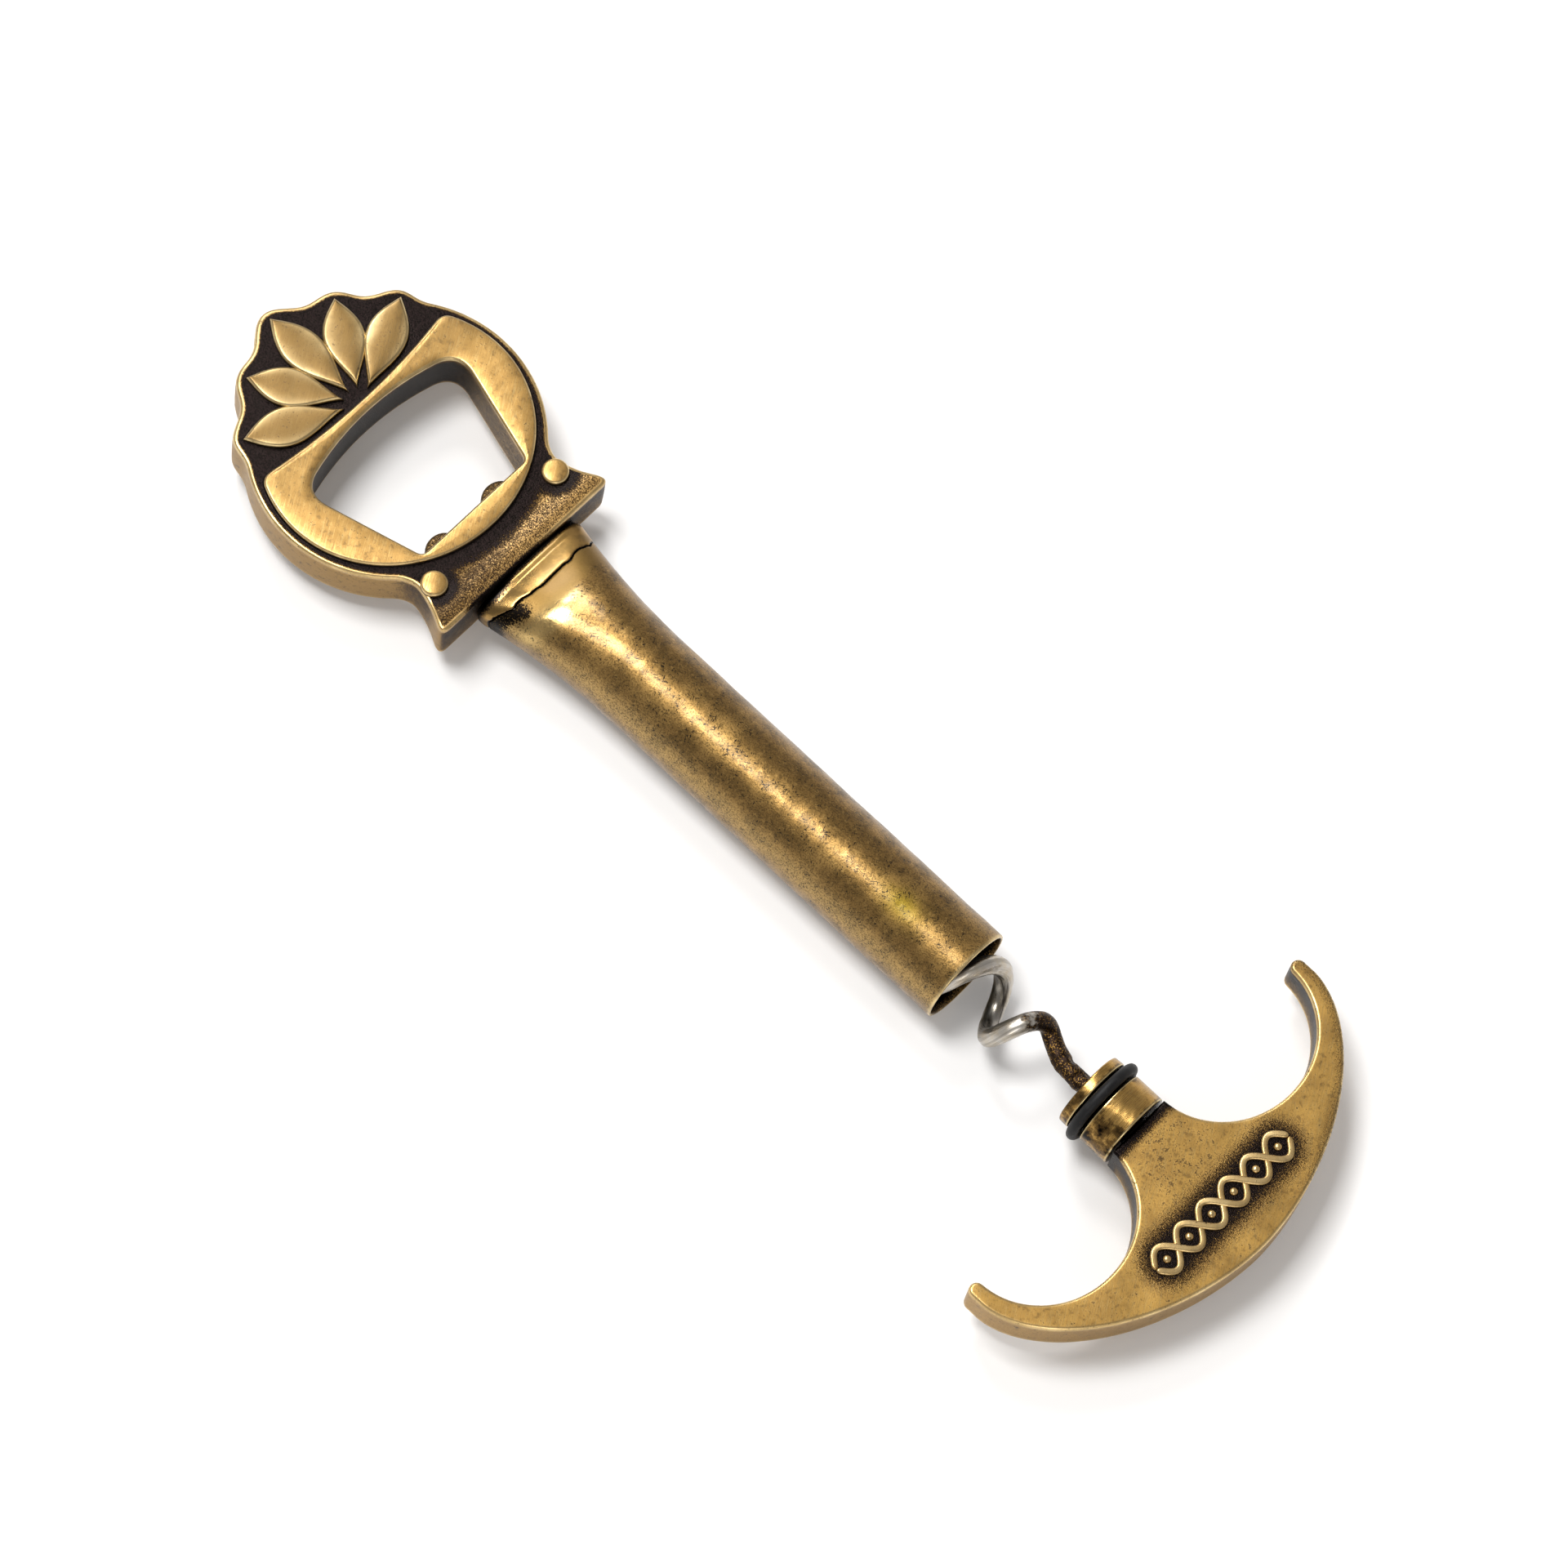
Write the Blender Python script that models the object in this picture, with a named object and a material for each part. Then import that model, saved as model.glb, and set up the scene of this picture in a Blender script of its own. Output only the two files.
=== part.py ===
"""Pocket cork puller: a brass bottle opener on a tube sheath, and a corkscrew that draws out of the tube.

The tool lies flat along X. The opener head is at -X and the finger handle at +X.
Each piece is drawn in the frame of the tube's mouth: x = 0 at the mouth, y = z = 0 on the tube's axis.
The origin of the finished part is under the middle of the whole tool, on the surface that it lies on.
"""

import math

import bmesh
import bpy
import numpy as np
from mathutils import Vector

# Clearance between pieces that touch or fit into each other, and how far cutters overrun.
GAP = 0.0003
OVERRUN = 0.002

# Tube sheath: round at the mouth, pressed flat where it grips the opener head.
TUBE_DIAMETER = 0.016
TUBE_WALL = 0.0006
TUBE_LENGTH = 0.0885
TUBE_FLAT_WIDTH = 0.0210
TUBE_FLAT_THICKNESS = 0.0082
TUBE_FLARE_LENGTH = 0.0245
TUBE_FLARE_POWER = 2.2
ROUND_EXPONENT = 2.0
FLAT_EXPONENT = 3.0
TUBE_SIDES = 32
TUBE_FLARE_RINGS = 10

# Braze bead between the end of the tube and the head.
BRAZE_LENGTH = 0.0012
BRAZE_PROUD = 0.0005
BRAZE_RINGS = 4

# Opener head: a thick plate with a raised face ring, a crest of petals and a flared shoulder.
HEAD_THICKNESS = 0.0082
HEAD_EDGE_ROUND = 0.00035
RELIEF_HEIGHT = 0.0010
RELIEF_SUNK = 0.0012
TONGUE_LENGTH = 0.0100
TONGUE_THICKNESS = 0.0060
TONGUE_ROOT = 0.0030
TONGUE_RINGS = 5
RING_TO_SHOULDER = 0.0270
RIM_HALF_LENGTH = 0.0223
RIM_HALF_WIDTH = 0.0231
FACE_HALF_LENGTH = 0.0199
FACE_HALF_WIDTH = 0.0217
FACE_FAR_EDGE = 0.0078
FACE_FAR_BOW = 0.0020
SHOULDER_HALF_WIDTH = 0.0184
WAIST_HALF_WIDTH = 0.0149
SHOULDER_LENGTH = 0.0087
SHOULDER_FLARE_POWER = 1.7
SHOULDER_TIP_ROUND = 0.0022
WAIST_FILLET = 0.0018
OUTLINE_POINTS = 200

# Mouth of the opener, and the two lobes of its lip under the near edge.
MOUTH_NEAR_EDGE = 0.0161
MOUTH_FAR_EDGE = 0.0060
MOUTH_FAR_BOW = 0.0013
MOUTH_NEAR_HALF_WIDTH = 0.0110
MOUTH_FAR_HALF_WIDTH = 0.0172
MOUTH_FAR_CORNER = 0.0042
MOUTH_NEAR_CORNER = 0.0006
MOUTH_POINTS = 100
LIP_LOBE_REACH = 0.0027
LIP_LOBE_HALF_WIDTH = 0.0030
LIP_LOBE_SPACING = 0.0120
LIP_THICKNESS = 0.0028
LIP_BACK_STEP = 0.0002
LOBE_POINTS = 24

# Crest: a fan of five pointed petals round a root beside the ring, on a plate with a scalloped edge.
FAN_TO_RING = 0.0074
PETAL_ROOT = 0.0027
CENTRE_PETAL_REACH = 0.0193
MIDDLE_PETAL_REACH = 0.0176
OUTER_PETAL_REACH = 0.0186
PETAL_HALF_WIDTH = 0.0032
PETAL_BORDER = 0.0015
CREST_DIP = 0.0015
PETAL_SPACING = math.radians(32)
PETAL_POINTS = 13
PETAL_BELLY_SHARE = 1.25

# Two round beads on the shoulder, beside the ring.
BEAD_DIAMETER = 0.0042
BEAD_SPACING = 0.0258
BEAD_TO_EDGE = 0.0066
BEAD_POINTS = 20

# Corkscrew: how far the plug's front face stands out of the tube at rest.
REST_DRAW = 0.0242

# Turned plug with a groove for the sealing ring.
PLUG_DIAMETER = 0.0124
PLUG_FRONT_LENGTH = 0.0018
PLUG_COLLAR_LENGTH = 0.0052
PLUG_CHAMFER = 0.00025
PLUG_SIDES = 40
RING_CORD = 0.0018
RING_DIAMETER = 0.0146
RING_SEGMENTS = 40
RING_CORD_SIDES = 12

# Steel worm: a shank on the axis, a bend, and an open coil with a ground point.
WIRE_DIAMETER = 0.0030
COIL_DIAMETER = 0.0087
COIL_PITCH = 0.0112
WORM_LENGTH = 0.0602
SHANK_LENGTH = 0.0032
SHANK_SEAT = 0.0040
BEND_LENGTH = 0.0120
TURN_START = 0.0085
TURN_EASE = 0.0030
START_ANGLE = math.radians(10)
POINT_LENGTH = 0.0090
POINT_WIDTH_SHARE = 0.16
WORM_STEP = 0.0005
LEAST_COIL_GAP = 0.0004

# Finger handle: an anchor-shaped plate with two finger hollows.
HANDLE_THICKNESS = 0.0069
HANDLE_EDGE_ROUND = 0.0005
HANDLE_REACH = 0.0253
HANDLE_HALF_SPAN = 0.0362
HANDLE_BACK_START = 0.0021
HANDLE_BACK_EXPONENT = 1.8
FINGER_SPACING = 0.0394
FINGER_HALF_SPAN = 0.0141
FINGER_DEPTH = 0.0128
FINGER_CENTRE_SET_BACK = 0.0004
ARM_TIP_SET_BACK = 0.0002
SPIGOT_DIAMETER = 0.0050
SPIGOT_LENGTH = 0.0036
SPIGOT_ROOT = 0.0020
SPIGOT_SIDES = 24
HANDLE_BACK_POINTS = 40
FINGER_POINTS = 26
TIP_POINTS = 7

# Twist ornament on the handle: two crossing strands with a bead in each eye.
TWIST_LENGTH = 0.0290
TWIST_EYES = 6
TWIST_SWING = 0.0022
STRAND_WIDTH = 0.0011
STRAND_HEIGHT = 0.0005
UNDER_STRAND_HEIGHT = 0.0004
STRAND_SUNK = 0.0008
TWIST_TO_BACK = 0.0087
EYE_BEAD_DIAMETER = 0.0013
EYE_BEAD_POINTS = 10
STRAND_POINTS_PER_EYE = 7

# Places along the axis, worked out from the sizes above.
TUBE_RADIUS = TUBE_DIAMETER / 2
SHOULDER_EDGE_X = -(TUBE_LENGTH + GAP + BRAZE_LENGTH + GAP)
RING_X = SHOULDER_EDGE_X - RING_TO_SHOULDER
FAN_X = RING_X - FAN_TO_RING
HEAD_END_X = FAN_X - CENTRE_PETAL_REACH - PETAL_BORDER
GROOVE_LENGTH = RING_CORD + 2 * GAP
GROOVE_RADIUS = RING_DIAMETER / 2 - RING_CORD - GAP
GROOVE_X = REST_DRAW + PLUG_FRONT_LENGTH
COLLAR_X = GROOVE_X + GROOVE_LENGTH
COLLAR_END_X = COLLAR_X + PLUG_COLLAR_LENGTH
NECK_X = COLLAR_END_X + GAP
HANDLE_END_X = NECK_X + HANDLE_REACH
MOUTH_X = -(HEAD_END_X + HANDLE_END_X) / 2


def clear_scene():
    """Removes every object that is in the scene."""
    for item in list(bpy.data.objects):
        bpy.data.objects.remove(item, do_unlink=True)


def linear(channel):
    """One sRGB channel, 0 to 1, as a linear value."""
    if channel <= 0.04045:
        return channel / 12.92
    return ((channel + 0.055) / 1.055) ** 2.4


def finish(name, hex_colour, metallic, roughness):
    """A Principled material with a colour written as an sRGB hex value."""
    material = bpy.data.materials.new(name)
    material.use_nodes = True
    shader = material.node_tree.nodes["Principled BSDF"]
    channels = [int(hex_colour[i : i + 2], 16) / 255 for i in (0, 2, 4)]
    shader.inputs["Base Color"].default_value = [*map(linear, channels), 1.0]
    shader.inputs["Metallic"].default_value = metallic
    shader.inputs["Roughness"].default_value = roughness
    return material


def add_empty(name, parent, x):
    """An empty on the tube's axis, x along from its parent."""
    empty = bpy.data.objects.new(name, None)
    bpy.context.scene.collection.objects.link(empty)
    empty.parent = parent
    empty.location = (x, 0, 0)
    return empty


def add_object(name, data, material=None, parent=None, x=0.0):
    """Links a mesh or curve as an object, x along from its parent."""
    item = bpy.data.objects.new(name, data)
    bpy.context.scene.collection.objects.link(item)
    if material:
        data.materials.append(material)
    item.parent = parent
    item.location = (x, 0, 0)
    return item


def add_mesh(name, shape, **placing):
    """Turns a bmesh into an object whose faces point outwards."""
    bmesh.ops.recalc_face_normals(shape, faces=shape.faces[:])
    mesh = bpy.data.meshes.new(name)
    shape.to_mesh(mesh)
    shape.free()
    return add_object(name, mesh, **placing)


def smooth(item, angle):
    """Shades an object smooth, with edges sharper than the angle kept."""
    item.data.shade_smooth()
    item.data.set_sharp_from_angle(angle=angle)


def helper(item):
    """Marks an object as one that only shapes another."""
    item.hide_render = True
    item.display_type = "WIRE"
    return item


def prism(name, outline, low, high, **placing):
    """A plate with the outline, a list of (x, y), from the height low to high."""
    shape = bmesh.new()
    ring = [shape.verts.new((x, y, low)) for x, y in outline]
    floor = shape.faces.new(ring)
    sides = bmesh.ops.extrude_face_region(shape, geom=[floor])
    top = [part for part in sides["geom"] if isinstance(part, bmesh.types.BMVert)]
    bmesh.ops.translate(shape, verts=top, vec=Vector((0, 0, high - low)))
    return add_mesh(name, shape, **placing)


def loft(name, rings, hollow, **placing):
    """A skin through rings of equally many points. A hollow one closes on itself, the others get end caps."""
    shape = bmesh.new()
    loops = [[shape.verts.new(point) for point in ring] for ring in rings]
    pairs = list(zip(loops, loops[1:]))
    if hollow:
        pairs.append((loops[-1], loops[0]))
    for first, second in pairs:
        for i in range(len(first)):
            shape.faces.new((first[i - 1], first[i], second[i], second[i - 1]))
    if not hollow:
        shape.faces.new(loops[0])
        shape.faces.new(loops[-1])
    return add_mesh(name, shape, **placing)


def turned(name, profile, sides, **placing):
    """A solid turned about X from a profile of (x, radius). Its first and last points lie on the axis."""
    shape = bmesh.new()
    angles = [2 * math.pi * i / sides for i in range(sides)]
    loops = []
    for x, radius in profile[1:-1]:
        loops.append([shape.verts.new((x, radius * math.cos(a), radius * math.sin(a))) for a in angles])
    ends = [shape.verts.new((x, 0, 0)) for x, _ in (profile[0], profile[-1])]
    for first, second in zip(loops, loops[1:]):
        for i in range(sides):
            shape.faces.new((first[i - 1], first[i], second[i], second[i - 1]))
    for end, loop in zip(ends, (loops[0], loops[-1])):
        for i in range(sides):
            shape.faces.new((end, loop[i - 1], loop[i]))
    return add_mesh(name, shape, **placing)


def round_edges(item, width, segments):
    """Rounds the edges where two faces meet at a clear angle."""
    bevel = item.modifiers.new("edge_round", "BEVEL")
    bevel.width = width
    bevel.segments = segments
    bevel.limit_method = "ANGLE"
    bevel.angle_limit = math.radians(50)
    bevel.use_clamp_overlap = True


def combine(item, other, operation):
    """Joins another solid to an object, or cuts it away, and makes that solid a helper."""
    boolean = item.modifiers.new(other.name, "BOOLEAN")
    boolean.operation = operation
    boolean.object = helper(other)
    boolean.solver = "EXACT"


def ease(value):
    """0 below 0, 1 above 1, and a smooth S between."""
    t = np.clip(value, 0.0, 1.0)
    return t * t * (3 - 2 * t)


def blend_max(first, second, width):
    """The larger of two fields, with the crease between them filled over the width."""
    near = np.clip(1 - np.abs(first - second) / width, 0.0, 1.0)
    return np.maximum(first, second) + near * near * width / 4


def blend_min(first, second, width):
    """The smaller of two fields, with the corner between them rounded over the width."""
    return -blend_max(-first, -second, width)


def oval_field(x, y, half_length, half_width):
    """About how far a point lies inside an oval round the origin, negative outside."""
    return (1 - np.hypot(x / half_length, y / half_width)) * half_width


def star_outline(field, count):
    """The closed line where the field is zero, found by halving along rays from the origin."""
    angles = np.arange(count) * 2 * math.pi / count
    inside = np.full(count, GAP)
    outside = np.full(count, RIM_HALF_WIDTH * 2)
    for _ in range(40):
        middle = (inside + outside) / 2
        keep = field(middle * np.cos(angles), middle * np.sin(angles)) > 0
        inside = np.where(keep, middle, inside)
        outside = np.where(keep, outside, middle)
    return [(r * math.cos(a), r * math.sin(a)) for r, a in zip(inside, angles)]


def petal_list():
    """(angle from -X, reach) of each petal of the crest."""
    petals = [(0.0, CENTRE_PETAL_REACH)]
    for side in (-1, 1):
        petals.append((side * PETAL_SPACING, MIDDLE_PETAL_REACH))
        petals.append((side * PETAL_SPACING * 2, OUTER_PETAL_REACH))
    return petals


def petal_half_width(share):
    """Half the width of a petal at a share of its length from root to tip: a sine arch, fuller near the tip."""
    return PETAL_HALF_WIDTH * np.sin(math.pi * share**PETAL_BELLY_SHARE)


def crest_field(x, y):
    """How far a point, from the ring's centre, lies inside the crest's scalloped edge.

    The edge goes round the fan's root. It follows the petals' reaches with a border,
    and dips by a sine squared between neighbours.
    """
    along = -(x + FAN_TO_RING)
    turn = np.abs(np.arctan2(y, along)) / PETAL_SPACING
    reach = CENTRE_PETAL_REACH + (MIDDLE_PETAL_REACH - CENTRE_PETAL_REACH) * ease(turn)
    reach = reach + (OUTER_PETAL_REACH - MIDDLE_PETAL_REACH) * ease(turn - 1)
    dip = CREST_DIP * np.sin(math.pi * turn) ** 2
    return reach + PETAL_BORDER - dip - np.hypot(along, y)


def shoulder_field(x, y):
    """The flared shoulder that the tube butts on: a concave flare each side and a straight rear edge."""
    waist_x = RING_TO_SHOULDER - SHOULDER_LENGTH
    share = np.clip((x - waist_x) / SHOULDER_LENGTH, 0.0, 1.0)
    half = WAIST_HALF_WIDTH + (SHOULDER_HALF_WIDTH - WAIST_HALF_WIDTH) * share**SHOULDER_FLARE_POWER
    body = blend_min(half - np.abs(y), RING_TO_SHOULDER - x, SHOULDER_TIP_ROUND)
    return np.where(x > 0, body, -RIM_HALF_WIDTH)


def head_field(x, y):
    """The head's outline: the rim oval with the shoulder and the crest."""
    rim = oval_field(x, y, RIM_HALF_LENGTH, RIM_HALF_WIDTH)
    with_shoulder = blend_max(rim, shoulder_field(x, y), WAIST_FILLET)
    return blend_max(with_shoulder, crest_field(x, y), PETAL_BORDER)


def face_field(x, y):
    """The raised face ring's outline: an oval cut by a shallow bow beside the crest."""
    oval = oval_field(x, y, FACE_HALF_LENGTH, FACE_HALF_WIDTH)
    far_edge = x + FACE_FAR_EDGE + FACE_FAR_BOW * (y / FACE_HALF_WIDTH) ** 2
    return np.minimum(oval, far_edge)


def mouth_field(x, y):
    """The opener's mouth: a straight near edge, sides that spread, and a bowed far edge."""
    share = (MOUTH_NEAR_EDGE - x) / (MOUTH_NEAR_EDGE + MOUTH_FAR_EDGE)
    half = MOUTH_NEAR_HALF_WIDTH + (MOUTH_FAR_HALF_WIDTH - MOUTH_NEAR_HALF_WIDTH) * share
    far = x + MOUTH_FAR_EDGE - MOUTH_FAR_BOW * (y / MOUTH_NEAR_HALF_WIDTH) ** 2
    field = blend_min(half - np.abs(y), far, MOUTH_FAR_CORNER)
    return blend_min(field, MOUTH_NEAR_EDGE - x, MOUTH_NEAR_CORNER)


def petal_outline(angle, reach):
    """The outline of one raised petal: both sides of its sine arch, turned to its angle."""
    shares = np.linspace(0, 1, PETAL_POINTS + 2)
    along = PETAL_ROOT + (reach - PETAL_ROOT) * shares
    half = petal_half_width(shares)
    along = np.concatenate([along, along[-2:0:-1]])
    across = np.concatenate([half, -half[-2:0:-1]])
    x = -FAN_TO_RING - along * math.cos(angle) + across * math.sin(angle)
    y = along * math.sin(angle) + across * math.cos(angle)
    return list(zip(x.tolist(), y.tolist()))


def oval_outline(x, y, half_length, half_width, count):
    """An oval round (x, y)."""
    angles = [2 * math.pi * i / count for i in range(count)]
    return [(x + half_length * math.cos(a), y + half_width * math.sin(a)) for a in angles]


def tube_half_sizes(x):
    """(half width, half thickness, exponent) of the tube's outside, x from the mouth."""
    flare = max(0.0, (-x - TUBE_LENGTH + TUBE_FLARE_LENGTH) / TUBE_FLARE_LENGTH)
    amount = flare**TUBE_FLARE_POWER
    width = TUBE_RADIUS + (TUBE_FLAT_WIDTH / 2 - TUBE_RADIUS) * amount
    thickness = TUBE_RADIUS + (TUBE_FLAT_THICKNESS / 2 - TUBE_RADIUS) * amount
    return width, thickness, ROUND_EXPONENT + (FLAT_EXPONENT - ROUND_EXPONENT) * amount


def section(x, half_width, half_thickness, exponent):
    """A ring of points across X: a circle for the exponent 2, and squarer above it.

    One of its flats faces down, so that the tool lies still on it, and its corners stand out
    by the amount that gives the flats the stated size.
    """
    ring = []
    half_turn = math.pi / TUBE_SIDES
    stand_out = 1 / math.cos(half_turn)
    for i in range(TUBE_SIDES):
        a = half_turn * (2 * i + 1)
        c = math.cos(a)
        s = math.sin(a)
        y = half_width * stand_out * math.copysign(abs(c) ** (2 / exponent), c)
        z = half_thickness * stand_out * math.copysign(abs(s) ** (2 / exponent), s)
        ring.append((x, y, z))
    return ring


def tube_section(x, inset):
    """The tube's section, its outside moved in by the inset."""
    width, thickness, exponent = tube_half_sizes(x)
    return section(x, width - inset, thickness - inset, exponent)


def make_tube(material, parent):
    """The sheath: a thin wall, round at the mouth and flat at the head."""
    stations = [0.0]
    for i in range(TUBE_FLARE_RINGS + 1):
        stations.append(-TUBE_LENGTH + TUBE_FLARE_LENGTH * (1 - i / TUBE_FLARE_RINGS))
    outside = [tube_section(x, 0.0) for x in stations]
    inside = [tube_section(x, TUBE_WALL) for x in reversed(stations)]
    tube = loft("tube_sheath", outside + inside, True, material=material, parent=parent)
    smooth(tube, math.radians(40))


def make_braze(material, parent):
    """The bead that fills the joint round the tongue and stands a little proud of the tube."""
    end = -(TUBE_LENGTH + GAP)
    width, thickness, exponent = tube_half_sizes(-TUBE_LENGTH)
    inner_width = width - TUBE_WALL
    rings = []
    for i in range(BRAZE_RINGS + 1):
        share = i / BRAZE_RINGS
        swell = BRAZE_PROUD * math.sin(math.pi * share)
        rings.append(section(end - BRAZE_LENGTH * share, width + swell, thickness + swell, exponent))
    for x in (end - BRAZE_LENGTH, end):
        rings.append(section(x, inner_width, TONGUE_THICKNESS / 2 + GAP, exponent))
    braze = loft("braze_bead", rings, True, material=material, parent=parent)
    smooth(braze, math.radians(40))


def make_tongue():
    """The head's flat tongue, which fills the pressed end of the tube."""
    rings = []
    for i in range(TONGUE_RINGS + 1):
        x = SHOULDER_EDGE_X + (TONGUE_LENGTH + TONGUE_ROOT) * i / TONGUE_RINGS - TONGUE_ROOT
        width, _, exponent = tube_half_sizes(max(x, -TUBE_LENGTH))
        rings.append(section(x - RING_X, width - TUBE_WALL - GAP, TONGUE_THICKNESS / 2, exponent))
    return loft("tongue_shape", rings, False)


def make_lip_lobes(parent):
    """The two rounded lobes at the back of the mouth that catch under a cap."""
    low = -HEAD_THICKNESS / 2 + LIP_BACK_STEP
    lobes = []
    for side in (-1, 1):
        place = (MOUTH_NEAR_EDGE, side * LIP_LOBE_SPACING / 2)
        outline = oval_outline(*place, LIP_LOBE_REACH, LIP_LOBE_HALF_WIDTH, LOBE_POINTS)
        lobes.append(prism("lip_lobe_shape", outline, low, low + LIP_THICKNESS, parent=parent, x=RING_X))
    return lobes


def make_head(material, parent):
    """The cast opener head: plate, raised faces, mouth, lip and tongue in one solid."""
    half = HEAD_THICKNESS / 2
    outline = star_outline(head_field, OUTLINE_POINTS)
    head = prism("opener_head", outline, -half, half, material=material, parent=parent, x=RING_X)
    round_edges(head, HEAD_EDGE_ROUND, 2)
    raised = {"parent": parent, "x": RING_X}
    low, high = half - RELIEF_SUNK, half + RELIEF_HEIGHT
    faces = [prism("face_shape", star_outline(face_field, OUTLINE_POINTS), low, high, **raised)]
    for angle, reach in petal_list():
        faces.append(prism("petal_shape", petal_outline(angle, reach), low, high, **raised))
    for side in (-1, 1):
        place = (RING_TO_SHOULDER - BEAD_TO_EDGE, side * BEAD_SPACING / 2)
        outline = oval_outline(*place, BEAD_DIAMETER / 2, BEAD_DIAMETER / 2, BEAD_POINTS)
        faces.append(prism("bead_shape", outline, low, high, **raised))
    tongue = make_tongue()
    tongue.parent = parent
    tongue.location.x = RING_X
    for shape in [*faces, tongue]:
        combine(head, shape, "UNION")
    mouth = star_outline(mouth_field, MOUTH_POINTS)
    combine(head, prism("mouth_cut", mouth, -half - OVERRUN, high + OVERRUN, **raised), "DIFFERENCE")
    for lobe in make_lip_lobes(parent):
        combine(head, lobe, "UNION")


def make_plug(material, parent):
    """The turned plug: front disc, groove and collar, bored for the shank and for the handle's spigot."""
    radius = PLUG_DIAMETER / 2
    shank_bore = WIRE_DIAMETER / 2 + GAP
    spigot_bore = SPIGOT_DIAMETER / 2 + GAP
    spigot_floor = NECK_X - SPIGOT_LENGTH - GAP
    profile = [
        (REST_DRAW + SHANK_SEAT + GAP, 0.0),
        (REST_DRAW + SHANK_SEAT + GAP, shank_bore),
        (REST_DRAW, shank_bore),
        (REST_DRAW, radius - PLUG_CHAMFER),
        (REST_DRAW + PLUG_CHAMFER, radius),
        (GROOVE_X, radius),
        (GROOVE_X, GROOVE_RADIUS),
        (COLLAR_X, GROOVE_RADIUS),
        (COLLAR_X, radius),
        (COLLAR_END_X - PLUG_CHAMFER, radius),
        (COLLAR_END_X, radius - PLUG_CHAMFER),
        (COLLAR_END_X, spigot_bore),
        (spigot_floor, spigot_bore),
        (spigot_floor, 0.0),
    ]
    plug = turned("plug", profile, PLUG_SIDES, material=material, parent=parent)
    smooth(plug, math.radians(35))


def make_sealing_ring(material, parent):
    """The rubber ring in the plug's groove. It is a hair smaller than the tube's bore."""
    radius = (RING_DIAMETER - RING_CORD) / 2
    bpy.ops.mesh.primitive_torus_add(
        major_radius=radius,
        minor_radius=RING_CORD / 2,
        major_segments=RING_SEGMENTS,
        minor_segments=RING_CORD_SIDES,
    )
    ring = bpy.context.object
    ring.name = "sealing_ring"
    ring.data.materials.append(material)
    ring.parent = parent
    ring.location = (GROOVE_X + GROOVE_LENGTH / 2, 0, 0)
    ring.rotation_euler = (0, math.pi / 2, 0)
    ring.data.shade_smooth()


def worm_path():
    """Points (x, y, z, share of the wire's width) from the seated end of the shank to the ground point.

    The turn rate eases in past TURN_START and the coil's radius grows over the bend,
    so the wire leaves the axis in one smooth curve. The coil winds left-handed.
    """
    count = round((SHANK_LENGTH + BEND_LENGTH) / WORM_STEP)
    step = (SHANK_LENGTH + BEND_LENGTH) / count
    distance = np.arange(0.0, WORM_LENGTH + step / 2, step)
    rate = ease((distance - TURN_START) / TURN_EASE) * 2 * math.pi / COIL_PITCH
    angle = START_ANGLE + np.cumsum(rate) * step
    radius = COIL_DIAMETER / 2 * ease((distance - SHANK_LENGTH) / BEND_LENGTH)
    x = REST_DRAW - distance
    y = radius * np.cos(angle)
    z = radius * np.sin(angle)
    taper = np.clip((distance[-1] - distance) / POINT_LENGTH, 0.0, 1.0)
    width = POINT_WIDTH_SHARE + (1 - POINT_WIDTH_SHARE) * taper
    seat = [(REST_DRAW + SHANK_SEAT, 0.0, 0.0, 1.0)]
    return seat + list(zip(x.tolist(), y.tolist(), z.tolist(), width.tolist()))


def print_coil_gap(points):
    """Measures the least gap between neighbouring turns and prints it."""
    centres = np.array(points)[:, :3]
    far_apart = round(COIL_PITCH / 2 / WORM_STEP)
    least = math.inf
    for i in range(len(centres) - far_apart):
        reach = np.linalg.norm(centres[i + far_apart :] - centres[i], axis=1)
        least = min(least, float(reach.min()))
    gap = least - WIRE_DIAMETER
    print(f"least gap between the worm's turns: {gap * 1000:.2f} mm, above {LEAST_COIL_GAP * 1000:.1f} mm")


def make_worm(material, parent):
    """The steel worm as one tube along its path."""
    points = worm_path()
    print_coil_gap(points)
    curve = bpy.data.curves.new("worm", "CURVE")
    curve.dimensions = "3D"
    curve.bevel_depth = WIRE_DIAMETER / 2
    curve.bevel_resolution = 3
    curve.use_fill_caps = True
    spline = curve.splines.new("POLY")
    spline.points.add(len(points) - 1)
    for point, (x, y, z, width) in zip(spline.points, points):
        point.co = (x, y, z, 1.0)
        point.radius = width
    spline.use_smooth = True
    add_object("worm", curve, material=material, parent=parent)


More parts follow.
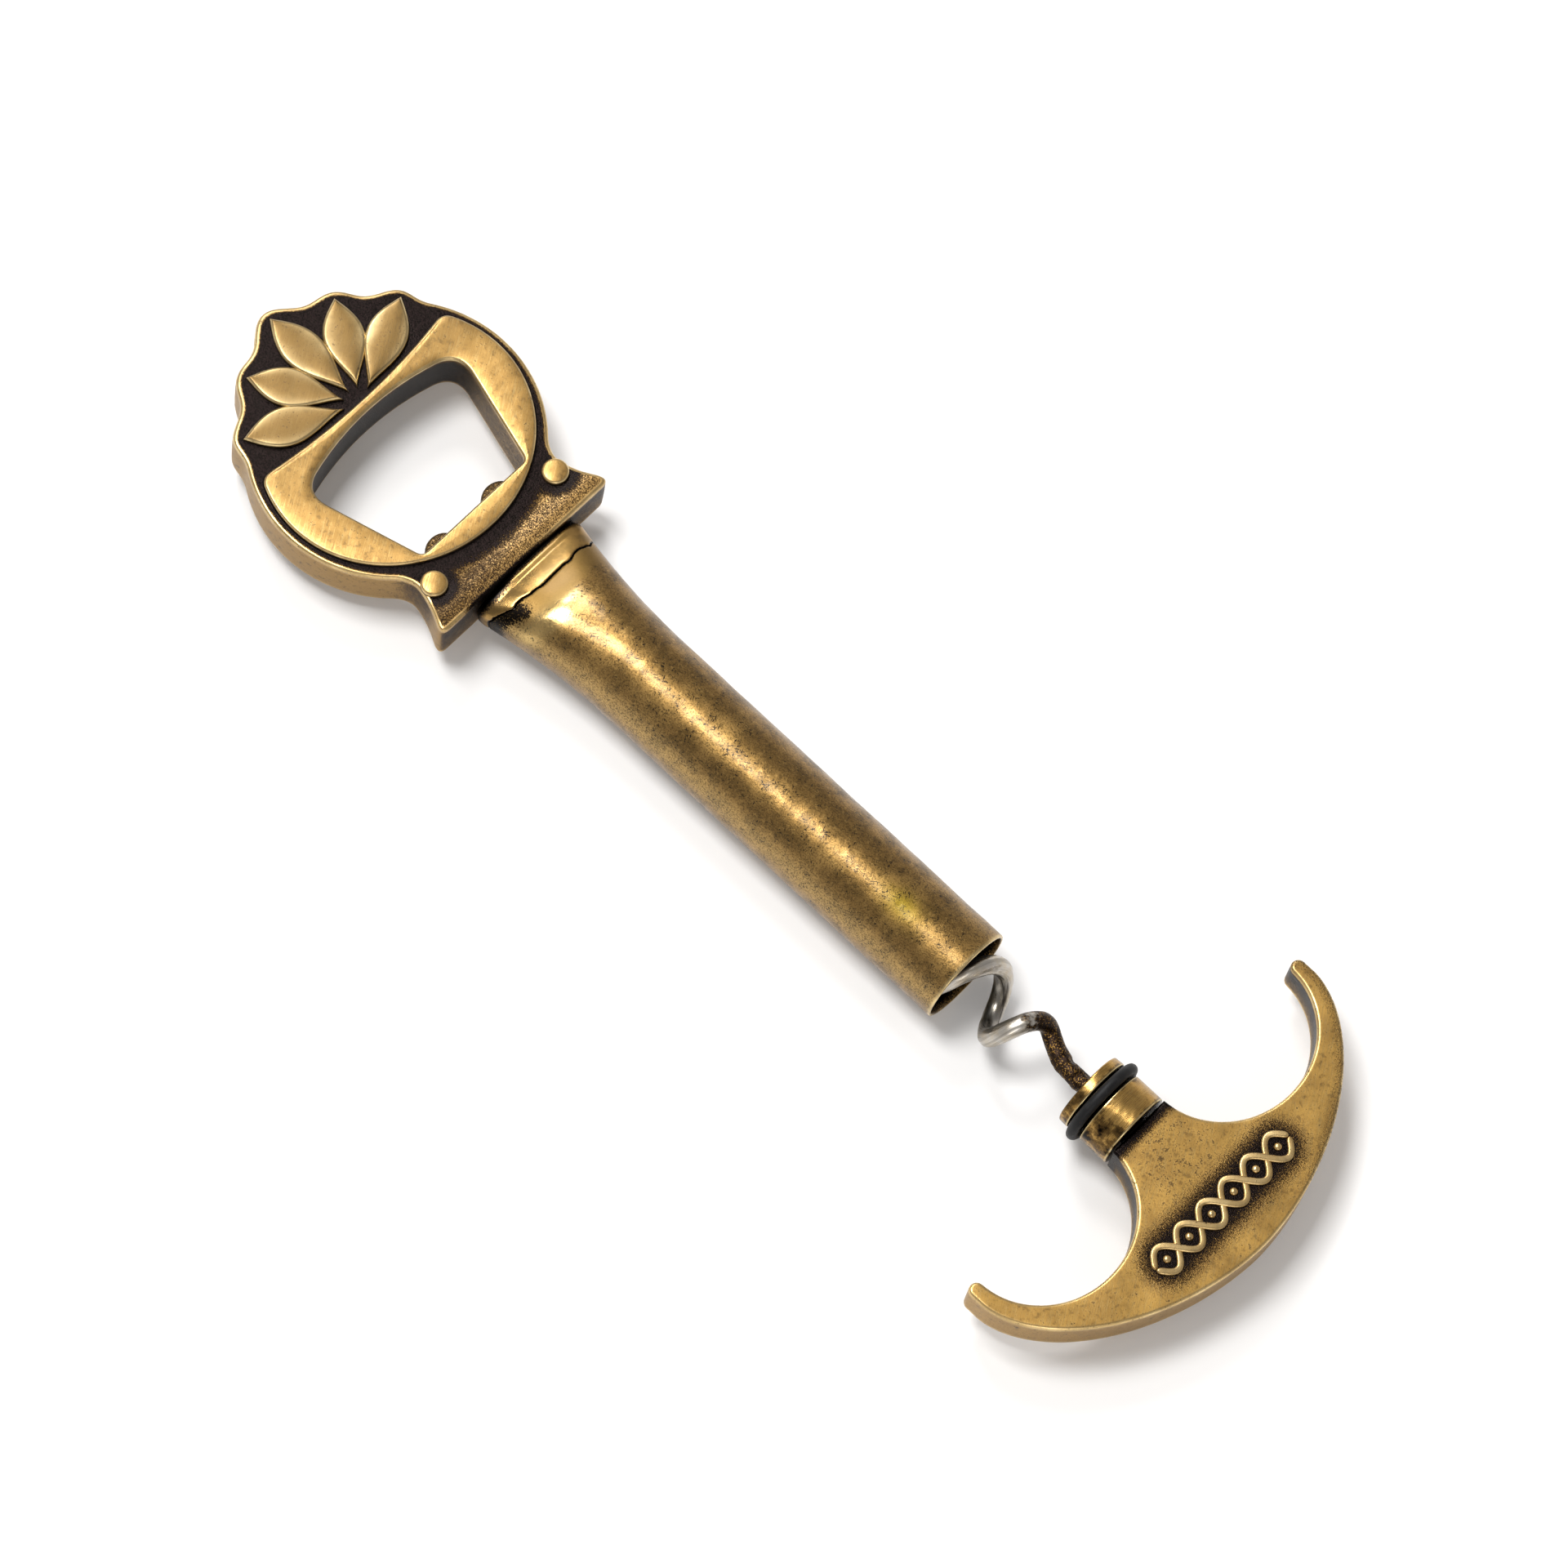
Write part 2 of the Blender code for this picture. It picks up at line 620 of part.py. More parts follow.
def handle_outline():
    """The anchor shape, x from its neck: back curve, arm tips, finger hollows and neck."""
    back_depth = HANDLE_REACH - HANDLE_BACK_START
    tip_outer = HANDLE_HALF_SPAN
    tip_inner = FINGER_SPACING / 2 + FINGER_HALF_SPAN
    tip_radius = (tip_outer - tip_inner) / 2
    half = []
    for i in range(HANDLE_BACK_POINTS):
        a = math.pi / 2 * i / HANDLE_BACK_POINTS
        x = HANDLE_BACK_START + back_depth * math.cos(a) ** (2 / HANDLE_BACK_EXPONENT)
        y = HANDLE_HALF_SPAN * math.sin(a) ** (2 / HANDLE_BACK_EXPONENT)
        half.append((x, y))
    for i in range(TIP_POINTS):
        a = math.pi * i / (TIP_POINTS - 1)
        x = ARM_TIP_SET_BACK - tip_radius * math.sin(a)
        half.append((x, tip_outer - tip_radius + tip_radius * math.cos(a)))
    for i in range(1, FINGER_POINTS):
        a = math.pi / 2 - math.pi * i / FINGER_POINTS
        x = FINGER_DEPTH * math.cos(a) - FINGER_CENTRE_SET_BACK
        if x > ARM_TIP_SET_BACK:
            half.append((x, FINGER_SPACING / 2 + FINGER_HALF_SPAN * math.sin(a)))
    half.append((0.0, FINGER_SPACING / 2 - FINGER_HALF_SPAN))
    return half + [(x, -y) for x, y in reversed(half[1:])]


def strand_outline(side):
    """One wavy strand of the twist, from the handle's neck frame: a sine along Y with an even width."""
    count = TWIST_EYES * STRAND_POINTS_PER_EYE
    share = np.linspace(0, 1, count + 1)
    y = (share - 0.5) * TWIST_LENGTH
    phase = share * TWIST_EYES * math.pi
    middle = HANDLE_REACH - TWIST_TO_BACK + side * TWIST_SWING * np.sin(phase)
    slope = side * TWIST_SWING * np.cos(phase) * TWIST_EYES * math.pi / TWIST_LENGTH
    length = np.hypot(1, slope)
    dx = STRAND_WIDTH / 2 / length
    dy = -slope * STRAND_WIDTH / 2 / length
    right = list(zip((middle + dx).tolist(), (y + dy).tolist()))
    left = list(zip((middle - dx).tolist(), (y - dy).tolist()))
    return right + left[::-1]


def make_handle(material, parent):
    """The cast handle: plate, spigot and twist ornament in one solid."""
    half = HANDLE_THICKNESS / 2
    placing = {"parent": parent, "x": NECK_X}
    handle = prism("finger_handle", handle_outline(), -half, half, material=material, **placing)
    round_edges(handle, HANDLE_EDGE_ROUND, 2)
    radius = SPIGOT_DIAMETER / 2
    profile = [(-SPIGOT_LENGTH, 0.0), (-SPIGOT_LENGTH, radius), (SPIGOT_ROOT, radius), (SPIGOT_ROOT, 0.0)]
    shapes = [turned("spigot_shape", profile, SPIGOT_SIDES, **placing)]
    low = half - STRAND_SUNK
    for side, height in ((1, STRAND_HEIGHT), (-1, UNDER_STRAND_HEIGHT)):
        shapes.append(prism("strand_shape", strand_outline(side), low, half + height, **placing))
    for i in range(TWIST_EYES):
        y = ((i + 0.5) / TWIST_EYES - 0.5) * TWIST_LENGTH
        shapes.append(make_eye_bead(y, low, half + STRAND_HEIGHT, placing))
    for shape in shapes:
        combine(handle, shape, "UNION")


def make_eye_bead(y, low, high, placing):
    """A bead in one eye of the twist, which lies where the strands are furthest apart."""
    radius = EYE_BEAD_DIAMETER / 2
    outline = oval_outline(HANDLE_REACH - TWIST_TO_BACK, y, radius, radius, EYE_BEAD_POINTS)
    return prism("eye_bead_shape", outline, low, high, **placing)


def main():
    clear_scene()
    cast_brass = finish("antique_cast_brass", "B8945A", 1.0, 0.38)
    tube_brass = finish("antique_tube_brass", "8A6A38", 1.0, 0.42)
    turned_brass = finish("antique_turned_brass", "A8854A", 1.0, 0.32)
    braze = finish("silver_braze", "B09A6C", 1.0, 0.35)
    steel = finish("bare_steel", "A8A6A2", 1.0, 0.30)
    rubber = finish("black_rubber", "232323", 0.0, 0.55)
    tool = add_empty("tool_axis", None, MOUTH_X)
    tool.location.z = TUBE_RADIUS
    draw = add_empty("draw_axis", tool, 0.0)
    make_head(cast_brass, tool)
    make_tube(tube_brass, tool)
    make_braze(braze, tool)
    make_sealing_ring(rubber, draw)
    make_plug(turned_brass, draw)
    make_worm(steel, draw)
    make_handle(cast_brass, draw)


main()
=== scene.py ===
"""Looks of an antique brass pocket cork puller: a bottle opener on a tube, and a worm on a finger handle.

Everything is in metres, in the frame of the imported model: X along the tube's axis, Z up, the floor at 0.
Shapes are surfaces over a grid of two parameters, worked out as whole arrays.
"""

import functools
import math

import bmesh
import bpy
import numpy as np
from mathutils import Matrix, Vector


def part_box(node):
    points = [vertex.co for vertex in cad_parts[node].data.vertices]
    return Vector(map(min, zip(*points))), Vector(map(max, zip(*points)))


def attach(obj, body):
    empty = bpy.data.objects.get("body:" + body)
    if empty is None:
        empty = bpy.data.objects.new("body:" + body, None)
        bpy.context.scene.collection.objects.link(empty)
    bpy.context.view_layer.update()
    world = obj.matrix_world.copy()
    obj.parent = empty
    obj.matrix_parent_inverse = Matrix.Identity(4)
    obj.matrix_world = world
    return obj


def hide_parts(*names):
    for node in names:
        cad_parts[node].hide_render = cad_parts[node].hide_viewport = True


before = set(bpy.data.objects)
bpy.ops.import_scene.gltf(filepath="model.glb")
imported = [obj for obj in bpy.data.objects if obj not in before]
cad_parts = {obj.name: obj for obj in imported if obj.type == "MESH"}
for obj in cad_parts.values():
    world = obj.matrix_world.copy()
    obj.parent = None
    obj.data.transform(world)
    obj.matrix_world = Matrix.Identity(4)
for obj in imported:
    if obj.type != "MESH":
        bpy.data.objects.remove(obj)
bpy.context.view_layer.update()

bl_info = {
    "name": "Pocket Cork Puller",
    "version": (1, 0, 0),
    "blender": (4, 5, 0),
    "location": "View3D > Sidebar > Cork Puller",
    "description": "Builds a brass bottle opener with a corkscrew stored in its tube",
    "category": "Add Mesh",
}

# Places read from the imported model.
HEAD_LOW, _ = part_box("opener_head")
TUBE_LOW, TUBE_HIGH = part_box("tube_sheath")
BRAZE_LOW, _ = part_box("braze_bead")
PLUG_LOW, PLUG_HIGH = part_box("plug")
RING_LOW, RING_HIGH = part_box("sealing_ring")
AXIS_Z = (TUBE_LOW.z + TUBE_HIGH.z) / 2
MOUTH_X = TUBE_HIGH.x
TUBE_END_X = TUBE_LOW.x
MM = 0.001


def linear(hex_colour):
    """An sRGB hex colour as linear red, green, blue and a full alpha."""
    channels = np.array([int(hex_colour[i : i + 2], 16) for i in (0, 2, 4)]) / 255
    low = channels / 12.92
    high = ((channels + 0.055) / 1.055) ** 2.4
    return (*np.where(channels <= 0.04045, low, high).tolist(), 1.0)


def length_value(name, description, default):
    """A property that holds a length."""
    return bpy.props.FloatProperty(
        name=name, description=description, default=default, min=0.0, precision=5, unit="LENGTH"
    )


def angle_value(name, description, default):
    """A property that holds an angle, with its default in degrees."""
    return bpy.props.FloatProperty(
        name=name, description=description, default=math.radians(default), unit="ROTATION"
    )


def share_value(name, description, default):
    """A property that holds a plain number."""
    return bpy.props.FloatProperty(name=name, description=description, default=default, precision=3)


def power_value(name, description, default):
    """A property that holds a lamp's watts."""
    return bpy.props.FloatProperty(
        name=name, description=description, default=default, min=0.0, unit="POWER"
    )


def colour_value(name, description, hex_colour):
    """A property that holds a colour, with its default as an sRGB hex value."""
    return bpy.props.FloatVectorProperty(
        name=name,
        description=description,
        default=linear(hex_colour),
        size=4,
        min=0.0,
        max=1.0,
        subtype="COLOR",
    )


class HeadSizes(bpy.types.PropertyGroup):
    """The cast opener head, in the frame of the ring's centre with X towards the tube."""

    rim_half_length: length_value("Rim half length", "Half the rim oval along the tool", 0.0223)
    rim_half_width: length_value("Rim half width", "Half the rim oval across the tool", 0.0231)
    face_half_length: length_value("Face half length", "Half the raised face along the tool", 0.0199)
    face_half_width: length_value("Face half width", "Half the raised face across the tool", 0.0217)
    face_far_edge: length_value("Face far edge", "Raised face's edge beside the petals", 0.0078)
    face_far_bow: length_value("Face far bow", "Bow of that edge at its ends", 0.0020)
    face_corner: length_value("Face corner", "Rounding of the raised face's far corners", 0.0016)
    shoulder_length: length_value("Shoulder length", "Length of the shoulder's flare", 0.0087)
    shoulder_reach: length_value("Shoulder reach", "Ring's centre to the shoulder's rear edge", 0.0270)
    shoulder_half_width: length_value("Shoulder half width", "Half the shoulder at its rear edge", 0.0184)
    waist_half_width: length_value("Waist half width", "Half the shoulder where its flare starts", 0.0149)
    tip_round: length_value("Tip round", "Rounding of the shoulder's tips", 0.0022)
    waist_fillet: length_value("Waist fillet", "Fillet between the ring and the shoulder", 0.0018)
    mouth_near: length_value("Mouth near edge", "Ring's centre to the mouth's straight edge", 0.0161)
    mouth_far: length_value("Mouth far edge", "Ring's centre to the mouth's bowed edge", 0.0060)
    mouth_bow: length_value("Mouth bow", "Bow of the far edge at the near edge's half width", 0.0013)
    mouth_near_half: length_value("Mouth near half width", "Half the mouth's straight edge", 0.0110)
    mouth_far_half: length_value("Mouth far half width", "Half the mouth at its far edge", 0.0172)
    mouth_far_corner: length_value("Mouth far corner", "Rounding of the far corners", 0.0042)
    mouth_near_corner: length_value("Mouth near corner", "Rounding of the near corners", 0.0010)
    fan_to_ring: length_value("Fan to ring", "Root of the petals to the ring's centre", 0.0074)
    petal_root: length_value("Petal root", "Fan's centre to the root of each petal", 0.0027)
    centre_reach: length_value("Centre petal", "Reach of the centre petal", 0.0193)
    middle_reach: length_value("Middle petals", "Reach of the petals beside it", 0.0176)
    outer_reach: length_value("Outer petals", "Reach of the outer petals", 0.0186)
    petal_half_width: length_value("Petal half width", "Half the widest part of a petal", 0.0032)
    petal_border: length_value("Petal border", "Plate that shows beyond the petals' tips", 0.0015)
    crest_dip: length_value("Crest dip", "Depth of the scallops between the petals", 0.0015)
    petal_spacing: angle_value("Petal spacing", "Angle between neighbouring petals", 32)
    relief: length_value("Relief", "Height of the raised faces over the recess", 0.0010)
    edge_round: length_value("Rolled edge", "Radius of the raised faces' worn edges", 0.00045)
    rim_round: length_value("Rim edge", "Radius of the plate's worn outer edge", 0.00055)
    foot_fillet: length_value("Foot fillet", "Fillet at the foot of the raised faces", 0.00022)
    crown_depth: length_value("Crown depth", "How far a raised face falls towards its edges", 0.00010)
    crown_width: length_value("Crown width", "Width over which a raised face falls", 0.0019)
    wall_bulge: length_value("Wall bulge", "Bulge of the cast outer wall", 0.00006)
    rear_rise: length_value("Rear rise", "Rise of the shoulder towards its rear edge", 0.00045)
    bead_diameter: length_value("Bead diameter", "Round beads on the shoulder", 0.0042)
    bead_spacing: length_value("Bead spacing", "Distance between the two beads", 0.0258)
    bead_to_edge: length_value("Bead to edge", "Beads to the shoulder's rear edge", 0.0066)
    lobe_reach: length_value("Lobe reach", "Reach of each lip lobe into the mouth", 0.0027)
    lobe_half_width: length_value("Lobe half width", "Half the width of each lip lobe", 0.0030)
    lobe_spacing: length_value("Lobe spacing", "Distance between the two lip lobes", 0.0120)
    lip_thickness: length_value("Lip thickness", "Thickness of the lip lobes", 0.0028)
    lip_step: length_value("Lip step", "Lip lobes' set back from the back face", 0.0002)


class TubeSizes(bpy.types.PropertyGroup):
    """The drawn tube, round at its mouth and pressed flat at the head."""

    wall: length_value("Wall", "Thickness of the tube's wall", 0.0006)
    flat_width: length_value("Flat width", "Width of the pressed end", 0.0210)
    flat_thickness: length_value("Flat thickness", "Thickness of the pressed end", 0.0082)
    flare_length: length_value("Flare length", "Length over which the tube is pressed", 0.0245)
    flare_power: share_value("Flare power", "How late the flare sets in", 2.2)
    flat_exponent: share_value("Flat exponent", "Squareness of the pressed end, 2 is an oval", 3.0)
    crack_sway: length_value("Seam sway", "How far the brazed seam wanders along the tube", 0.0027)
    dent_depth: length_value("Dent depth", "Depth of the soft dents of use", 0.00005)
    ridge_place: length_value("Ridge place", "Tube's end to the soft ridge of the pressing", 0.0064)
    ridge_height: length_value("Ridge height", "Height of that ridge", 0.00017)
    ridge_width: length_value("Ridge width", "Half width of that ridge", 0.0015)


class CorkscrewSizes(bpy.types.PropertyGroup):
    """The worm, plug and sealing ring."""

    wire: length_value("Wire", "Diameter of the worm's wire", 0.0030)
    coil: length_value("Coil", "Diameter of the coil's centreline", 0.0087)
    pitch: length_value("Pitch", "Distance between the coil's turns", 0.0112)
    worm_length: length_value("Worm length", "Plug's face to the worm's point", 0.0602)
    shank: length_value("Shank", "Straight shank in front of the plug", 0.0032)
    seat: length_value("Seat", "Shank's end inside the plug", 0.0040)
    bend: length_value("Bend", "Length over which the wire leaves the axis", 0.0120)
    turn_start: length_value("Turn start", "Where along the worm its turning starts", 0.0085)
    turn_ease: length_value("Turn ease", "Length over which the turning sets in", 0.0030)
    start_angle: angle_value("Start angle", "Side to which the wire leaves the axis", 10)
    point: length_value("Point", "Length of the ground point", 0.0090)
    point_share: share_value("Point share", "Width of the tip as a share of the wire", 0.16)
    plug_diameter: length_value("Plug diameter", "Diameter of the turned plug", 0.0124)
    front: length_value("Front disc", "Length of the disc before the groove", 0.0018)
    ring_cord: length_value("Ring cord", "Thickness of the rubber ring", 0.0018)
    clearance: length_value("Clearance", "Gap between pieces that fit together", 0.0003)
    spigot: length_value("Spigot", "Diameter of the handle's spigot", 0.0050)
    spigot_length: length_value("Spigot length", "Length of the handle's spigot", 0.0036)


class HandleSizes(bpy.types.PropertyGroup):
    """The cast finger handle, in the frame of its neck."""

    thickness: length_value("Thickness", "Thickness of the handle's plate", 0.0069)
    edge_round: length_value("Edge round", "Radius of the handle's worn edges", 0.00050)
    crown_depth: length_value("Crown depth", "How far the plate falls towards its edges", 0.00003)
    crown_width: length_value("Crown width", "Width over which the plate falls", 0.0020)
    reach: length_value("Reach", "Neck to the middle of the back", 0.0253)
    half_span: length_value("Half span", "Axis to the outside of an arm", 0.0362)
    back_depth: length_value("Back depth", "Depth of the back's curve", 0.0232)
    back_exponent: share_value("Back exponent", "Fullness of the back's curve, 2 is an oval", 1.8)
    finger_spacing: length_value("Finger spacing", "Distance between the finger hollows", 0.0394)
    finger_half_span: length_value("Finger half span", "Half the width of a hollow", 0.0141)
    finger_depth: length_value("Finger depth", "Depth of a hollow", 0.0128)
    finger_set_back: length_value("Finger set back", "Centre of the hollows before the neck", 0.0004)
    twist_length: length_value("Twist length", "Length of the twist ornament", 0.0290)
    twist_swing: length_value("Twist swing", "Swing of each strand to the side", 0.0022)
    twist_to_back: length_value("Twist to back", "Ornament's middle to the back", 0.0087)
    strand_width: length_value("Strand width", "Width of a strand", 0.0011)
    strand_height: length_value("Strand height", "Height of a strand over the plate", 0.0005)
    strand_weave: length_value("Strand weave", "Rise and fall of a strand at a crossing", 0.00014)
    eye_bead: length_value("Eye bead", "Diameter of the bead in each eye", 0.0013)
    eyes: bpy.props.IntProperty(name="Eyes", description="Eyes of the twist", default=6, min=1)


class Finishes(bpy.types.PropertyGroup):
    """Colours of the finishes."""

    satin: colour_value("Satin brass", "Rubbed raised faces", "A98447")
    satin_deep: colour_value("Deep satin", "Browner clouds in the rubbed faces", "8A6934")
    # Painted shade: a darker satin that stands for the shade over the far end of the head and its petals.
    satin_dull: colour_value("Dull satin", "Less rubbed faces at the far end of the head", "5F4922")
    # On the tube this colour also paints the reflection along its near lower side, and lightens the
    # polished band as a partly painted highlight.
    satin_light: colour_value("Light satin", "Paler clouds in the rubbed faces", "CDAE70")
    satin_rubbed: colour_value("Rubbed satin", "Handle's faces, rubbed by fingers", "C99F50")
    bright: colour_value("Bright edge", "Brass worn bright on edges", "F0D79E")
    patina: colour_value("Patina", "Black antique patina in recesses", "0F0C0A")
    patina_brown: colour_value("Brown patina", "Half-rubbed patina", "4E3A20")
    tube: colour_value("Tube brass", "Ground colour of the tube", "94733F")
    tube_dark: colour_value("Tube shade", "Dark mottling of the tube", "54401F")
    tube_light: colour_value("Tube rub", "Places of the tube rubbed light", "B08D52")
    steel: colour_value("Steel", "Bare wire", "BDB8B0")
    steel_dark: colour_value("Steel streak", "Dark draw marks of the wire", "3A3733")
    tarnish: colour_value("Tarnish", "Bronze-black film on the shank", "2B211B")
    rubber: colour_value("Rubber", "Sealing ring", "0C0C0D")
    rubber_dust: colour_value("Rubber dust", "Dust on the sealing ring", "353433")
    wall: colour_value("Side walls", "Less rubbed side walls of the castings", "937440")
    patina_purple: colour_value("Patina sheen", "Purple-brown crumbs in the patina", "1D1615")
    olive: colour_value("Olive", "Yellow-green tint of the tube", "6C5A10")
    braze: colour_value("Braze", "Yellow brass that flowed when it was brazed", "7D6233")
    steel_warm: colour_value("Warm steel", "Yellowed places of the wire", "B5A586")
    rust: colour_value("Rust", "Rust dots on the wire", "6B3A1E")
    floor: colour_value("Floor", "Pale table that the lights turn white", "E7E6E5")
    table_glow: share_value("Table glow", "Light of the table's own that is seen, but lights nothing", 0.06)


class StageSettings(bpy.types.PropertyGroup):
    """Strengths of the stage's lights."""

    horizon_light: share_value("Horizon light", "Room light at the horizon", 0.56)
    overhead_light: share_value("Overhead light", "Room light overhead", 0.38)
    room_colour: colour_value("Room colour", "Warm white of the room's light", "FFFCFA")
    key_power: power_value("Key power", "Watts of the softbox above the head", 12.0)
    side_power: power_value("Side power", "Watts of the softbox at the far side", 6.0)
    low_power: power_value("Low power", "Watts of the softbox at the near side", 3.0)


class CorkPuller(bpy.types.PropertyGroup):
    """All settings of the tool."""

    head: bpy.props.PointerProperty(type=HeadSizes, name="Head")
    tube: bpy.props.PointerProperty(type=TubeSizes, name="Tube")
    screw: bpy.props.PointerProperty(type=CorkscrewSizes, name="Corkscrew")
    handle: bpy.props.PointerProperty(type=HandleSizes, name="Handle")
    finish: bpy.props.PointerProperty(type=Finishes, name="Finishes")
    stage: bpy.props.PointerProperty(type=StageSettings, name="Stage")


def settings():
    """The tool's settings in the scene."""
    return bpy.context.scene.cork_puller


# Fields, curves and unevenness


def ease(value):
    """0 below 0, 1 above 1, and 3t^2 - 2t^3 between."""
    t = np.clip(value, 0.0, 1.0)
    return t * t * (3 - 2 * t)


def fade(value, start, end):
    """0 at the start, 1 at the end and eased between. The end may lie below the start."""
    return ease((value - start) / (end - start))


def bell(value, middle, width):
    """exp(-((value - middle) / width)^2), which is 1 at the middle."""
    return np.exp(-(((value - middle) / width) ** 2))


def blend_max(first, second, width):
    """The larger of two fields, plus w/4 (1 - |difference|/w)^2 where they differ by less than w."""
    near = np.clip(1 - np.abs(first - second) / width, 0.0, 1.0)
    return np.maximum(first, second) + near * near * width / 4


def blend_min(first, second, width):
    """The smaller of two fields, with its corner rounded in the same way."""
    return -blend_max(-first, -second, width)


def oval_field(x, y, half_length, half_width):
    """About how far a point lies inside an oval: (1 - hypot(x/a, y/b)) b."""
    return (1 - np.hypot(x / half_length, y / half_width)) * half_width


def ripple(points, size, seed, waves=24):
    """Smooth unevenness of about unit size: a sum of cosines of random direction, wavelength near size."""
    random = np.random.default_rng(seed)
    direction = random.normal(size=(waves, 3))
    direction /= np.linalg.norm(direction, axis=1, keepdims=True)
    wave = direction * 2 * math.pi / size * random.uniform(0.7, 1.5, (waves, 1))
    phase = random.uniform(0, 2 * math.pi, waves)
    return np.cos(points @ wave.T + phase).sum(-1) * math.sqrt(2 / waves)


def spots(points, centres, radii, depths):
    """Depth of the deepest round pit at each point: depth exp(-(distance/radius)^2)."""
    depth = np.zeros(points.shape[:-1])
    for centre, radius, deepest in zip(centres, radii, depths):
        distance = ((points - centre) ** 2).sum(-1)
        depth = np.maximum(depth, deepest * np.exp(-distance / radius**2))
    return depth


def zero_radius(field, angles, reach):
    """Radius along each angle where the field crosses zero, by halving the span 40 times."""
    inside = np.full(angles.shape, MM / 10)
    outside = np.full(angles.shape, reach)
    for _ in range(40):
        middle = (inside + outside) / 2
        keep = field(middle * np.cos(angles), middle * np.sin(angles)) > 0
        inside = np.where(keep, middle, inside)
        outside = np.where(keep, outside, middle)
    return inside


def polar(angles, radii):
    """Points at the angles and radii, as an array (count, 2)."""
    return np.stack([radii * np.cos(angles), radii * np.sin(angles)], axis=-1)


def outward(curve):
    """Unit normals of a closed anticlockwise curve, pointing out."""
    along = np.roll(curve, -1, axis=0) - np.roll(curve, 1, axis=0)
    normal = np.stack([along[:, 1], -along[:, 0]], axis=-1)
    return normal / np.linalg.norm(normal, axis=1, keepdims=True)


# Meshes


def grid_faces(rows, columns, wrap_rows, wrap_columns):
    """Four corner numbers of each cell of a grid, whose rows or columns may close on themselves."""
    row = np.arange(rows if wrap_rows else rows - 1)
    column = np.arange(columns if wrap_columns else columns - 1)
    i, j = np.meshgrid(row, column, indexing="ij")
    below = (i + 1) % rows
    right = (j + 1) % columns
    corners = [i * columns + j, below * columns + j, below * columns + right, i * columns + right]
    return np.stack([corner.ravel() for corner in corners], axis=-1)


def add_surface(name, points, material, wrap_rows=False, wrap_columns=False, merge=True, **marks):
    """A mesh over a grid of points (rows, columns, 3).

    With merge, points that coincide become one, which closes seams and poles. Faces are turned outwards.
    Each mark is a number for every point, kept as an attribute for the material.
    """
    if not np.isfinite(points).all():
        raise ValueError(f"{name} has points that aren't numbers")
    rows, columns = points.shape[:2]
    faces = grid_faces(rows, columns, wrap_rows, wrap_columns)
    mesh = bpy.data.meshes.new(name)
    mesh.from_pydata(points.reshape(-1, 3).tolist(), [], faces.tolist())
    for mark, values in marks.items():
        attribute = mesh.attributes.new(mark, "FLOAT", "POINT")
        spread = np.broadcast_to(values, (rows, columns)).astype(np.float32)
        attribute.data.foreach_set("value", np.ascontiguousarray(spread).ravel())
    shape = bmesh.new()
    shape.from_mesh(mesh)
    if merge:
        bmesh.ops.remove_doubles(shape, verts=shape.verts[:], dist=MM / 5000)
    bmesh.ops.recalc_face_normals(shape, faces=shape.faces[:])
    if shape.calc_volume(signed=True) < 0:
        bmesh.ops.reverse_faces(shape, faces=shape.faces[:])
    shape.to_mesh(mesh)
    shape.free()
    mesh.shade_smooth()
    mesh.materials.append(material)
    item = bpy.data.objects.new(name, mesh)
    bpy.context.scene.collection.objects.link(item)
    return item


def seat_piece(item, body, slot, *nodes):
    """Sets the body that a piece rides on, and hides the solids that it stands for. The slot is not used.
    """
    if nodes:
        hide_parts(*nodes)
    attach(item, body)


def raised_strip(path, side, half_width, top, foot, edge, crown, columns):
    """A raised strip with rolled edges along a path.

    Across the strip the height is top - R + sqrt(R^2 - (R - d)^2) within R of the edge, where d is
    the distance to the edge, plus crown (1 - a^2), with a from -1 to 1 across. Walls go straight down.
    Returns points (rows, columns + 5, 3): the top, two down each wall and one under the middle.
    """
    across = np.sin(np.linspace(-math.pi / 2, math.pi / 2, columns))
    step = np.linalg.norm(np.gradient(path, axis=0), axis=1)
    slope = np.gradient(half_width) / np.maximum(step, MM / 1000)
    lean = 1 / np.sqrt(1 + slope**2)
    distance = np.minimum(half_width[:, None] * (1 - np.abs(across)) * lean[:, None], edge)
    roll = np.sqrt(np.maximum(edge**2 - (edge - distance) ** 2, 0.0))
    height = top[:, None] - edge + roll + crown * (1 - across**2) * ease(distance / edge)
    place = path[:, None, :] + side[:, None, :] * (across * half_width[:, None])[:, :, None]
    surface = np.concatenate([place, height[:, :, None]], axis=2)
    low = np.full(len(path), foot)
    wall = top - edge
    ends = []
    for sign, shares in ((1, (0.5, 1.0)), (0, (1.0,)), (-1, (1.0, 0.5))):
        for share in shares:
            edge_place = path + side * (half_width * sign)[:, None]
            level = wall + (low - wall) * share
            ends.append(np.concatenate([edge_place, level[:, None]], axis=1))
    return np.concatenate([surface, np.stack(ends, axis=1)], axis=1)


def turned_surface(profile, sides, centre, axis):
    """A profile of (place along the axis, radius) turned round an axis through the centre."""
    turn = np.linspace(0, 2 * math.pi, sides, endpoint=False)
    along = np.broadcast_to(profile[:, None, 0], (len(profile), sides))
    first = profile[:, None, 1] * np.cos(turn)
    second = profile[:, None, 1] * np.sin(turn)
    if axis == "X":
        points = np.stack([along, first, second], axis=-1)
    else:
        points = np.stack([first, second, along], axis=-1)
    return points + np.array(centre)


